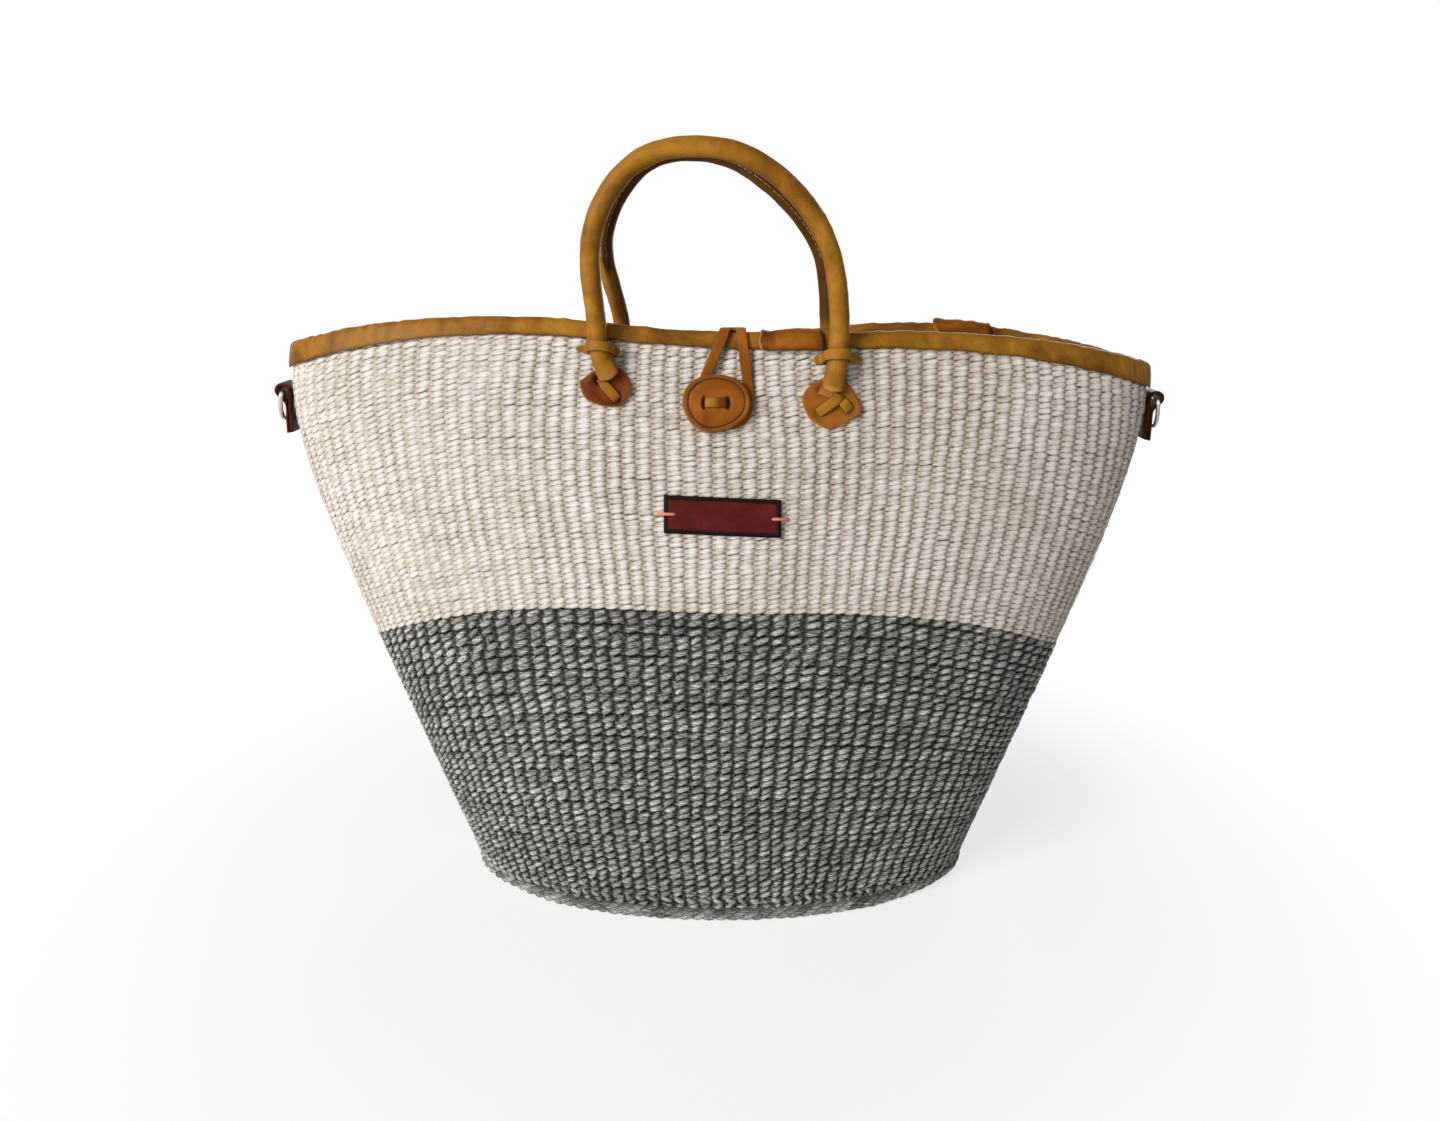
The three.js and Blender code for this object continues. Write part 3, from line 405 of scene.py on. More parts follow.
@dataclass(frozen=True)
class LeatherFinish(Finish):
    """Vegetable-tanned hide, oiled and rubbed: mottled, finely grained and glossy where it bends.

    The dye is patchy at the scale of a finger, the grain is under a millimetre, and the gloss is broken
    by rubbed spots. A fleck is given as a share of a patch, and a crease as a multiple of the grain.
    """

    dark: str
    middle: str
    light: str
    patch: float = 26.0
    fleck: float = 0.12
    grain: float = 0.9
    crease: float = 5.0
    roughness: float = 0.42
    gloss_spread: float = 0.12
    shine: float = 0.08
    bump: float = 0.25
    # the edge colour darkens cut edges and is also used as painted shade
    edge: str = "3a1c0c"
    raw: str = "c79a5c"

    def feeds(self, tree: bpy.types.NodeTree) -> dict[str | int, object]:
        """Patchy dye, dark flecks, the edge colour for cut edges and painted shade, the raw colour, and grain
        with creases.
        """
        space = add_node(tree, "TexCoord").outputs["Object"]
        patches = add_node(tree, "TexNoise", {
            "Vector": space, "Scale": 1 / (self.patch * MM), "Detail": 5.0, "Roughness": 0.62,
            "Distortion": 0.6,
        })
        stops = [(0.3, self.dark), (0.7, self.light), (0.5, self.middle)]
        surface = add_node(tree, "ValToRGB", {"Fac": patches}, stops)
        flecks = add_node(tree, "TexNoise", {
            "Vector": space, "Scale": 1 / (self.fleck * self.patch * MM), "Detail": 6.0, "Roughness": 0.7,
        })
        limits = {"From Min": 0.56, "From Max": 0.8, "To Max": 0.55}
        share = add_node(tree, "MapRange", {"Value": flecks, **limits})
        colour = add_node(tree, "MixRGB", {"Fac": share, "Color1": surface, "Color2": linear(self.dark)})
        # the edge layer holds dark cut edges, and painted shade in holes, slots, creases, at thong tips and
        # on the inner side of the handles
        for layer, tint in (("edge", self.edge), ("raw", self.raw)):
            share = add_node(tree, "Attribute", attribute_name=layer).outputs["Fac"]
            colour = add_node(tree, "MixRGB", {"Fac": share, "Color1": colour, "Color2": linear(tint)})
        pores = {"Vector": space, "Scale": 1 / (self.grain * MM), "Randomness": 1.0}
        grain = add_node(tree, "TexVoronoi", pores, feature="SMOOTH_F1")
        creases = add_node(tree, "TexNoise", {
            "Vector": space, "Scale": 1 / (self.crease * self.grain * MM), "Detail": 4.0, "Distortion": 1.2,
        })
        relief = add_node(tree, "Math", {0: grain, 1: 0.35, 2: creases}, operation="MULTIPLY_ADD")
        bump = add_node(tree, "Bump", {"Height": relief, "Strength": self.bump, "Distance": 0.5 * MM})
        roughness = add_node(tree, "MapRange", {
            "Value": patches, "From Min": 0.35, "From Max": 0.65,
            "To Min": self.roughness - self.gloss_spread, "To Max": self.roughness + self.gloss_spread,
        })
        return {
            "Base Color": colour, "Roughness": roughness, "Specular IOR Level": self.shine, "Normal": bump,
        }


@dataclass(frozen=True)
class ThreadFinish(Finish):
    """Waxed sewing thread: a fine ply with a dull shine."""

    dark: str
    light: str
    ply: float = 0.35

    def feeds(self, tree: bpy.types.NodeTree) -> dict[str | int, object]:
        """The plies as fine relief in two tones."""
        space = add_node(tree, "TexCoord").outputs["Object"]
        size = {"Scale": 1 / (self.ply * MM), "Detail": 3.0, "Roughness": 0.6}
        plies = add_node(tree, "TexNoise", {"Vector": space, **size})
        surface = add_node(tree, "ValToRGB", {"Fac": plies}, [(0.35, self.dark), (0.65, self.light)])
        bump = add_node(tree, "Bump", {"Height": plies, "Strength": 0.4, "Distance": 0.2 * MM})
        return {"Base Color": surface, "Roughness": 0.62, "Normal": bump}


@dataclass(frozen=True)
class WireFinish(Finish):
    """Nickel-plated steel wire, bright with fine handling scratches."""

    colour: str = "cfcdc6"
    scratch: float = 1.5
    roughness: float = 0.24
    polished: float = 0.08
    scratched: float = 0.12

    def feeds(self, tree: bpy.types.NodeTree) -> dict[str | int, object]:
        """Metal that is duller where it is scratched."""
        space = add_node(tree, "TexCoord").outputs["Object"]
        size = {"Scale": 1 / (self.scratch * MM), "Detail": 6.0, "Roughness": 0.75}
        scratches = add_node(tree, "TexNoise", {"Vector": space, **size})
        roughness = add_node(tree, "MapRange", {
            "Value": scratches, "From Min": 0.35, "From Max": 0.65,
            "To Min": self.roughness - self.polished, "To Max": self.roughness + self.scratched,
        })
        return {"Base Color": linear(self.colour), "Metallic": 1.0, "Roughness": roughness}


class Sheet:
    """Flat grids of faces that are bent to a form.

    u runs across a grid and v along it, both from 0 to 1, and strip is the number of the grid. The three
    have shapes that combine into one array of all points.
    """

    def __init__(self, columns: int, rows: int, strips: int = 1) -> None:
        """Makes the grids.

        Args:
            columns: Faces across a grid.
            rows: Faces along a grid.
            strips: How many grids there are.
        """
        self.size = (strips, rows + 1, columns + 1)
        self.u = np.linspace(0, 1, columns + 1)[None, None, :]
        self.v = np.linspace(0, 1, rows + 1)[None, :, None]
        self.strip = np.arange(strips)[:, None, None]
        self.work = bmesh.new()
        lines = strips * (rows + 1)
        bmesh.ops.create_grid(self.work, x_segments=columns, y_segments=lines - 1, size=0.5)
        faces = enumerate(self.work.faces)
        between = [face for index, face in faces if index // columns % (rows + 1) == rows]
        bmesh.ops.delete(self.work, geom=between, context="FACES")

    def bend(
        self,
        name: str,
        points: Points,
        crease: float = 50.0,
        caps: bool = False,
        **attributes: Points,
    ) -> Mesh:
        """Bends the grids and closes them where their edges meet.

        Args:
            name: The mesh's name.
            points: The points in millimetres, in a shape that fits u, v and strip.
            crease: Edges that bend by more degrees than this stay sharp.
            caps: Whether openings that are left get a flat face.
            attributes: Values at the points for materials, numbers or vectors.

        Returns:
            The mesh, in metres.
        """
        mesh = bpy.data.meshes.new(name)
        self.work.to_mesh(mesh)
        self.work.free()
        spread = np.broadcast_to(points, (*self.size, 3)) * MM
        mesh.vertices.foreach_set("co", spread.reshape(-1))
        for attribute, values in attributes.items():
            vector = np.ndim(values) == 4
            shape = (*self.size, 3) if vector else self.size
            kind, key = ("FLOAT_VECTOR", "vector") if vector else ("FLOAT", "value")
            layer = mesh.attributes.new(attribute, kind, "POINT")
            layer.data.foreach_set(key, np.broadcast_to(values, shape).astype(np.float32).reshape(-1))
        work = bmesh.new()
        work.from_mesh(mesh)
        bmesh.ops.remove_doubles(work, verts=work.verts, dist=1e-6)
        if caps:
            rims = [edge for edge in work.edges if edge.is_boundary]
            bmesh.ops.holes_fill(work, edges=rims, sides=0)
        bmesh.ops.recalc_face_normals(work, faces=work.faces)
        work.to_mesh(mesh)
        work.free()
        mesh.shade_smooth()
        mesh.set_sharp_from_angle(angle=math.radians(crease))
        return mesh


def smooth_line(points: Points | list, count: int, closed: bool = False) -> Points:
    """A smooth line through points.

    Args:
        points: The points that it passes, in two or three dimensions.
        count: How many points it gets.
        closed: Whether it returns to its first point.

    Returns:
        Evenly spaced points on the line.
    """
    points = np.asarray(points, dtype=float)
    if closed:
        padded = np.concatenate([points[-1:], points, points[:2]])
    else:
        padded = np.concatenate([2 * points[:1] - points[1:2], points, 2 * points[-1:] - points[-2:-1]])
    pieces = []
    for a, b, c, d in zip(padded, padded[1:], padded[2:], padded[3:]):
        spans = [math.sqrt(max(np.linalg.norm(q - p), 1e-9)) for p, q in ((a, b), (b, c), (c, d))]
        first, second, third = spans
        start = (c - b) / second - (c - a) / (first + second) + (b - a) / first
        end = (d - c) / third - (d - b) / (second + third) + (c - b) / second
        t = np.linspace(0, 1, CURVE_STEPS, endpoint=False)[:, None]
        square, cube = t * t, t * t * t
        pieces.append(
            (2 * cube - 3 * square + 1) * b
            + (cube - 2 * square + t) * start * second
            + (3 * square - 2 * cube) * c
            + (cube - square) * end * second
        )
    dense = np.concatenate([*pieces, padded[-2:-1]])
    return spaced(dense, np.linspace(0, 1, count))


def spaced(line: Points, shares: Points) -> Points:
    """The points of a line at shares of its length."""
    length = run_lengths(line)
    return np.stack([np.interp(shares * length[-1], length, line[:, k]) for k in range(line.shape[1])], -1)


def tangents(line: Points, closed: bool = False) -> Points:
    """The directions of a line at its points."""
    if closed:
        ring = line[:-1]
        along = unit(np.roll(ring, -1, axis=0) - np.roll(ring, 1, axis=0))
        return np.concatenate([along, along[:1]])
    return unit(np.gradient(line, axis=0))


def edge_wear(columns: int, start: float) -> Points:
    """The share of the edge colour round a strap's outline, from 0 at start to 1 at both edges."""
    return smooth_step(start, 1.0, np.abs(np.cos(np.linspace(0, TURN, columns + 1))))[None]


def fibre_place(thickness: float, turn: Points, along: Points) -> Points:
    """The place in a strand that the streaks of its material are read at."""
    return np.stack(np.broadcast_arrays(thickness * np.cos(turn), thickness * np.sin(turn), along), axis=-1)


def strap_section(columns: int, half_width: Points | float, half_thickness: Points | float) -> Points:
    """The outline of a flat strap with rounded edges, across and through it, for each point of a line."""
    angle = np.linspace(0, TURN, columns + 1)
    sides = [
        np.atleast_1d(half)[:, None] * np.sign(wave) * np.abs(wave) ** STRAP_ROUNDING
        for half, wave in ((half_width, np.cos(angle)), (half_thickness, np.sin(angle)))
    ]
    return np.stack(np.broadcast_arrays(*sides), axis=-1)


def round_section(columns: int, radius: Points | float) -> Points:
    """The outline of a round cord, for each point of a line."""
    angle = np.linspace(0, TURN, columns + 1)
    circle = np.stack([np.cos(angle), np.sin(angle)], axis=-1)
    return np.atleast_1d(radius)[:, None, None] * circle


def sweep(
    name: str,
    line: Points,
    across: Points,
    section: Points,
    closed: bool = False,
    **attributes: Points,
) -> Mesh:
    """A solid with one outline carried along a line.

    Args:
        name: The mesh's name.
        line: The points of its middle.
        across: The direction of the outline's first coordinate, one for all points or one for each.
        section: The outline at each point, or one for all.
        closed: Whether the line returns to its first point.
        attributes: Values for materials, one for each point of each outline, or one for all.

    Returns:
        The mesh. An open one has a face at each end.
    """
    along = tangents(line, closed)
    side = np.broadcast_to(across, line.shape)
    side = unit(side - np.sum(side * along, axis=-1, keepdims=True) * along)
    through = np.cross(along, side)
    section = np.broadcast_to(section, (len(line), *section.shape[-2:]))
    points = line[:, None] + section[..., :1] * side[:, None] + section[..., 1:] * through[:, None]
    columns = section.shape[1] - 1
    values = {key: np.broadcast_to(value, section.shape[:2]) for key, value in attributes.items()}
    if not closed:
        points = np.concatenate([points[:1] * 0 + line[0], points, points[:1] * 0 + line[-1]])
        values = {key: np.concatenate([v[:1], v, v[-1:]]) for key, v in values.items()}
    sheet = Sheet(columns, len(points) - 1)
    return sheet.bend(name, points[None], **{key: v[None] for key, v in values.items()})


def grains(
    name: str, centres: Points, runs: Points, outs: Points, length: float, width: float, height: float
) -> Mesh:
    """Many small rounded grains, such as stitches or knots.

    Args:
        name: The mesh's name.
        centres: Their middles.
        runs: Their directions, or one for all.
        outs: The directions that their height stands in, or one for all.
        length: Their length.
        width: Their width.
        height: Their height.

    Returns:
        The mesh.
    """
    sheet = Sheet(6, 5, len(centres))
    turn = TURN * sheet.u
    bow = np.pi * sheet.v
    runs, outs = (unit(np.broadcast_to(way, centres.shape)) for way in (runs, outs))
    sides = np.cross(outs, runs)
    full = np.sin(bow) ** 0.7
    points = (
        centres[:, None, None]
        - (length / 2 * np.cos(bow))[..., None] * runs[:, None, None]
        + (width / 2 * full * np.cos(turn))[..., None] * sides[:, None, None]
        + (height / 2 * full * np.sin(turn))[..., None] * outs[:, None, None]
    )
    return sheet.bend(name, points)


def plate(
    name: str,
    outline: Points,
    lay: Callable[[Points, Points, Points], Points],
    low: float,
    high: float,
    relief: Callable[[Points, Points], Points] | None = None,
    shade: Callable[[Points, Points], Points] | None = None,
    raw_rim: float = 0.0,
    wear: float = 0.0,
) -> Mesh:
    """A flat piece of leather with rounded edges.

    Args:
        name: The mesh's name.
        outline: Its closed outline.
        lay: Puts a point of the flat piece, with its height, in its place on the bag.
        low: The height of its underside.
        high: The height of its face.
        relief: Extra height of the face at a point.
        shade: The share of the edge colour at a point, also used as painted shade in hollows.
        raw_rim: The share of the raw colour along the cut edge.
        wear: The share of the raw colour all over, where the dye is rubbed off.

    Returns:
        The mesh.
    """
    rings, lip_share = 26, 0.35
    middle = outline[:-1].mean(axis=0)
    size = np.linalg.norm(outline - middle, axis=-1).mean()
    lip = lip_share * (high - low)
    reach = [*np.linspace(0, 1 - lip / size, rings), 1 - 0.3 * lip / size, 1, 1, 1 - 0.5 * lip / size, 0.5, 0]
    level = [*[high] * rings, high - 0.3 * lip, high - lip, low + 0.5 * lip, low, low, low]
    sheet = Sheet(len(outline) - 1, len(reach) - 1)
    share = np.array(reach)[None, :, None]
    flat = middle + share[..., None] * (outline - middle)[None, None]
    x, y = flat[..., 0], flat[..., 1]
    height = np.broadcast_to(np.array(level)[None, :, None], x.shape).copy()
    face = np.arange(len(reach))[None, :, None] < rings + 2
    if relief:
        height = height + np.where(face, relief(x, y), 0)
    edge = shade(x, y) if shade else smooth_step(1 - 1.1 * lip / size, 1, share)
    worn = 0.6 + 0.5 * cloud(17, x / 3 + 40, y / 3 + 40)
    raw = np.maximum(raw_rim * worn * smooth_step(1 - 0.9 * lip / size, 1 - 0.2 * lip / size, share), wear)
    return sheet.bend(name, lay(x, y, height), edge=np.broadcast_to(edge, x.shape), raw=raw)


def put(name: str, data: bpy.types.ID) -> bpy.types.Object:
    """Puts a mesh, a lamp or a camera in the scene."""
    thing = bpy.data.objects.new(name, data)
    bpy.context.scene.collection.objects.link(thing)
    return thing


def add_piece(mesh: Mesh, body: str | None, slot: str, *nodes: str) -> bpy.types.Object:
    """Puts a mesh in the scene as a piece of the bag, under the mesh's own name.

    Args:
        mesh: The mesh.
        body: The body that it rides on, or None where it bends between two.
        slot: Its material slot.
        nodes: The solids that it stands for.

    Returns:
        The object.
    """
    piece = put(mesh.name, mesh)
    mesh.materials.append(PALETTE[slot])
    if body:
        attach(piece, body)
    if nodes:
        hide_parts(*nodes)
    log.info("%s: %d faces", mesh.name, len(mesh.polygons))
    return piece


def cloud(seed: int, u: Points, v: Points | float, wrap: int = CLOUD) -> Points:
    """Smooth random heights over a plane.

    Args:
        seed: Picks the heights.
        u: Where they are read, one way. The heights change from one whole number to the next.
        v: Where they are read, the other way.
        wrap: The step of u after which they repeat.

    Returns:
        Heights between -1 and 1.
    """
    table = np.random.RandomState(seed).uniform(-1, 1, (wrap, CLOUD))
    column, row = np.floor(u).astype(int), np.floor(v).astype(int)
    a, b = u - column, v - row
    a, b = a * a * (3 - 2 * a), b * b * (3 - 2 * b)
    low, high = (
        table[column % wrap, level % CLOUD] * (1 - a) + table[(column + 1) % wrap, level % CLOUD] * a
        for level in (row, row + 1)
    )
    return low * (1 - b) + high * b


@dataclass
class WovenBand:
    """One colour of the twined wall.

    Each row is two strands of sisal that twist round each other between upright warps, so that a stitch
    of one and then of the other lies on the outside, and the same on the inside. The spreads say how much
    the stitches differ: in their size, climb, height off the wall and lap over the next one. At the left
    of the wall, from flat_from to flat_to, the stitches lie flatter.
    """

    name: str
    node: str
    slot: str
    low_row: float
    high_row: float
    rows: int
    columns: int
    climb: float
    fullness: float
    tightness: float
    seed: int
    bead_tones: float
    patch_tones: float
    # how dark the painted shade is where a stitch dives between its neighbours, and along the brinks of each
    # strand
    end_tone: float
    gap_shade: float
    reversed_rows: tuple[int, ...] = ()
    # how dark the painted shade on the warp layer is
    warp_depth: float = 0.85
    end_width: float = 0.6
    steps: int = 8
    sides: int = 6
    pit_width: float = 0.45
    pit_spread: float = 0.2
    lap: float = 0.0
    flat_left: float = 0.0
    flat_from: float = -50.0
    flat_to: float = -140.0
    size_spread: float = 0.14
    climb_spread: float = 0.25
    height_spread: float = 0.16
    lap_spread: float = 0.55
    patch_spread: float = 0.6
    warp_half_thickness: float = 0.3
    warp_tone: float = 0.2
    unevenness: float = 0.1
    swing: float = 1.15
    half_thickness: float = 1.4
    wander: float = 0.5
    row_length: float = 960.0
    fibre_twist: float = 34.0
    parts: int = 3

    def row_line(self, number: Points) -> Points:
        """The row of the wall that a pair of strands follows."""
        return self.low_row + (self.high_row - self.low_row) * (number + 0.5) / self.rows

    def weft(self, part: int) -> Mesh:
        """The strands of some neighbouring rows.

        Args:
            part: Which share of the rows, from 0.

        Returns:
            The mesh.
        """
        first, last = (round(self.rows * k / self.parts) for k in (part, part + 1))
        turns = self.columns // 2
        sheet = Sheet(self.sides, turns * self.steps, 2 * (last - first))
        number, ply = sheet.strip // 2 + first, sheet.strip % 2
        row = self.row_line(number)
        share = sheet.v
        stitch, strand = share * self.columns, number * 2 + ply
        drift = self.wander * cloud(7, share * 9, row * 5, 9) / self.columns
        jitter = self.unevenness * cloud(self.seed + 1, stitch, number, self.columns) / self.columns
        shares = share + drift + jitter
        phi = np.concatenate([
            FORM.even_phis(level, shares[k % len(drift), :, 0])[None, :, None]
            for k, level in enumerate(row[:, 0, 0])
        ])
        turn = TURN * turns * share + np.pi * ply + (np.pi / self.steps if self.lap > 0 else 0)
        facing = np.cos(turn)
        full = 1 + self.size_spread * cloud(self.seed + 2, stitch, strand, self.columns)
        tall = np.linalg.norm(FORM.upward(phi, row), axis=-1) / (2 * FORM.step)
        pitch = tall * (self.high_row - self.low_row) / self.rows
        lean = np.where(np.isin(number, self.reversed_rows), -1, 1)
        waver = self.unevenness * cloud(self.seed + 3, share * 37, number, 37)
        steep = 1 + self.climb_spread * cloud(self.seed + 8, stitch / 2, strand, turns)
        rise = self.climb * steep * lean * np.sin(turn) + waver
        proud = self.height_spread * cloud(self.seed + 9, stitch, strand, self.columns)
        patch = self.patch_spread * cloud(self.seed + 5, share * 34, row * 9, 34)
        patch = patch + self.patch_spread * cloud(self.seed + 6, share * 13, row * 3, 13)
        drawn = self.lap_spread * cloud(self.seed + 7, stitch / 2, row * 14, turns)
        left = smooth_step(self.flat_from, self.flat_to, FORM.skin(phi, row)[..., 0])
        lap = (self.lap * (1 + drawn) + self.flat_left * left).clip(-0.3, 0.95)
        level = np.sin(np.pi / 2 * np.clip(facing + lap, -1, 1))
        out = (self.swing + proud) * level - FORM.wall_thickness / 2
        round_it = TURN * (sheet.u + 0.5 / self.sides)
        thick = 1.1 * self.half_thickness * (0.8 + 0.2 * np.abs(facing)) * full
        high = self.fullness * (self.tightness + (1 - self.tightness) * np.abs(facing)) * full
        up = pitch * (rise + high * np.sin(round_it))
        points = FORM.strand_point(phi, row, out + thick * np.cos(round_it), up)
        length = share * self.row_length
        offset = 41 * np.random.RandomState(self.seed).uniform(size=(2 * self.rows, 1, 1))
        start = offset[2 * first : 2 * last]
        fibre = fibre_place(2, round_it + length * TURN / self.fibre_twist, length + 400 * start)
        fibre = fibre + 13 * start[..., None]
        bead = cloud(self.seed + 4, (stitch + ply) / 2, strand, turns)
        # painted shade: the ends of a stitch, where it dives between its neighbours, are darkened, and the
        # pits between stitches and the upper and lower brinks of each strand take the deep colour
        dive = 1 - smooth_step(0, self.end_width, np.abs(facing))
        brink = smooth_step(0.45, 0.95, np.abs(np.sin(round_it)))
        tone = 0.5 + self.bead_tones * bead + self.patch_tones * patch
        tone = tone - self.end_tone * dive * (1.2 - 0.7 * lap)
        pit = 1 - smooth_step(0.05, self.pit_width, np.abs(facing))
        pit = pit * (self.pit_spread + (1 - self.pit_spread) * brink)
        depth = np.clip(self.gap_shade * brink + pit, 0, 1)
        name = f"{self.name}_rows_{part + 1}"
        return sheet.bend(name, points, UNCREASED, fibre=fibre, tone=tone, depth=depth)

    def warp(self) -> Mesh:
        """The warps as a sheet in the middle of the wall, seen only between stitches and painted dark as
        shade.
        """
        sheet = Sheet(48, 224)
        up = 1 - np.abs(2 * sheet.u - 1)
        inside = np.where((sheet.u > 0.5) & (sheet.u < 1), -1, 1)
        row = self.low_row + (self.high_row - self.low_row) * up
        out = self.warp_half_thickness * inside - FORM.wall_thickness / 2
        points = FORM.wall_point(TURN * sheet.v, row, out)
        return sheet.bend(f"{self.name}_warps", points, depth=self.warp_depth, tone=self.warp_tone)

    def build(self) -> None:
        """Adds the rows and the warps."""
        for part in range(self.parts):
            add_piece(self.weft(part), "bag", self.slot, self.node)
        add_piece(self.warp(), "bag", self.slot, self.node)


@dataclass
class LooseFibres:
    """Stray sisal fibres that stand off the wall, one for every few stitches."""

    name: str
    slot: str
    low_row: float
    high_row: float
    count: int
    seed: int
    radius: float = 0.1
    longest: float = 17.0

    def build(self) -> None:
        """Adds the fibres."""
        random = np.random.RandomState(self.seed)
        shape = (self.count, 1, 1)
        sheet = Sheet(3, 5, self.count)
        row = self.low_row + (self.high_row - self.low_row) * random.uniform(0.02, 0.98, shape)
        phi = random.uniform(0, TURN, shape)
        half = self.longest * random.uniform(0.2, 0.5, shape)
        slope = np.tan(random.normal(0.25, 0.5, shape).clip(-1.2, 1.2))
        bow = random.normal(0, 0.16, shape)
        run = 2 * sheet.v - 1
        across = half * run
        up = across * slope + bow * half * run * run
        round_it = TURN * sheet.u
        thin = self.radius * (1 - 0.7 * np.abs(run))
        stand = random.uniform(0.1, 0.5, shape) + 0.35 * random.uniform(0, 1, shape) * (1 - run * run)
        around, upward = FORM.around(phi, row), FORM.upward(phi, row)
        phi_there = phi + across * 2 * FORM.step / np.linalg.norm(around, axis=-1)
        row_there = row + up * 2 * FORM.step / np.linalg.norm(upward, axis=-1)
        row_there = np.clip(row_there, self.low_row + 0.004, self.high_row - 0.004)
        out = np.where(np.abs(run) > 0.99, 0, stand) + thin * np.cos(round_it)
        points = FORM.wall_point(phi_there, row_there, out)
        points = points + (thin * np.sin(round_it))[..., None] * unit(upward)
        tone = 0.75 + 0.3 * random.uniform(-1, 1, shape)
        mesh = sheet.bend(self.name, points, UNCREASED, tone=tone, depth=0.0)
        add_piece(mesh, "bag", self.slot)


@dataclass
class Base:
    """The oval base: twined rings round a straight middle, and a thick twist round its edge.

    The strands of the twist have an orbit and a half thickness, each given out of the wall and up it.
    From tuck_from to tuck_to on either side of the middle, the twist draws in until it is flush.
    """

    rings: int = 15
    steps: int = 352
    middle: float = 80.0
    reach: float = 65.5
    stitch: float = 8.2
    stitch_climb: float = 0.24
    stitch_swing: float = 1.0
    stitch_half_height: float = 1.35
    stitch_taper: float = 0.32
    ridge_strands: int = 3
    ridge_turns: int = 34
    ridge_out: float = 1.0
    ridge_orbit: tuple[float, float] = (1.5, 1.75)
    ridge_strand: tuple[float, float] = (2.0, 2.3)
    end_tuck: float = 2.2
    tuck_from: float = 85.0
    tuck_to: float = 130.0
    ridge_height: float = 8.5
    edge_length: float = 760.0
    edge_twist: float = 26.0

    def panel(self) -> Mesh:
        """The rings of the base, seen from above and below."""
        sheet = Sheet(6, self.steps, 2 * self.rings)
        number, ply = sheet.strip // 2, sheet.strip % 2
        share = (number + 0.5) / self.rings
        angle = TURN * sheet.v
        deep = self.reach * share
        wide = self.middle + deep
        length = TURN * np.sqrt((wide * wide + deep * deep) / 2)
        turns = np.rint(length / (2 * self.stitch))
        turn = turns * angle + np.pi * ply
        facing = np.cos(turn)
        pitch = self.reach / self.rings
        run = TURN * sheet.u
        full = 1 - self.stitch_taper + self.stitch_taper * np.abs(facing)
        shift = pitch * (self.stitch_climb * np.sin(turn) + 0.5 * full * np.cos(run))
        x = (wide + shift) * np.cos(angle)
        y = (deep + shift) * np.sin(angle)
        z = FORM.base_thickness / 2 + self.stitch_swing * facing + self.stitch_half_height * np.sin(run)
        points = np.stack(np.broadcast_arrays(x, y, z), axis=-1)
        fibre = fibre_place(2, run, sheet.v * length + 57 * sheet.strip)
        tone = 0.45 + 0.2 * cloud(61, angle * 9, number * 2 + ply) + 0.2 * cloud(62, angle * 2, share * 4)
        # painted shade where the stitches dive between their neighbours
        depth = 0.85 * (1 - smooth_step(0.05, 0.6, np.abs(facing)))
        return sheet.bend("base_rings", points, UNCREASED, fibre=fibre, tone=tone, depth=depth)

    def ridge(self) -> Mesh:
        """The thick twist of strands round the foot of the wall."""
        sheet = Sheet(8, self.ridge_turns * 10, self.ridge_strands)
        middle = self.ridge_height / 2
        row = float(FORM.row_at(0.0, middle))
        phi = FORM.even_phis(row, sheet.v)
        share = sheet.strip / self.ridge_strands
        turn = TURN * (self.ridge_turns * sheet.v + share)
        rough = 1 + 0.12 * cloud(71, sheet.v * 90, sheet.strip, 90)
        run = TURN * sheet.u
        row_there = FORM.row_at(phi, middle)
        at_end = smooth_step(self.tuck_from, self.tuck_to, np.abs(FORM.skin(phi, row_there)[..., 0]))
        out, rise = (
            orbit * wave(turn) + strand * rough * wave(run)
            for orbit, strand, wave in zip(self.ridge_orbit, self.ridge_strand, (np.cos, np.sin))
        )
        out = self.ridge_out - self.end_tuck * at_end + out
        points = FORM.strand_point(phi, row_there, out, rise)
        points[..., 2] = np.maximum(points[..., 2], 0.05)
        along = sheet.v * self.edge_length
        fibre = fibre_place(2.5, run + along * TURN / self.edge_twist, along + 91 * share * 3)
        tone = 0.42 + 0.25 * cloud(72, sheet.v * 60, sheet.strip, 60)
        # painted shade along the upper and lower sides of each strand, where the strands press together
        depth = 0.75 * smooth_step(0.55, 1, np.abs(np.sin(run)))
        return sheet.bend("base_edge_twist", points, UNCREASED, fibre=fibre, tone=tone, depth=depth)

    def build(self) -> None:
        """Adds the base and its edge."""
        add_piece(self.panel(), "bag", "grey_sisal", "base_panel")
        add_piece(self.ridge(), "bag", "grey_sisal", "base_edge_ridge")


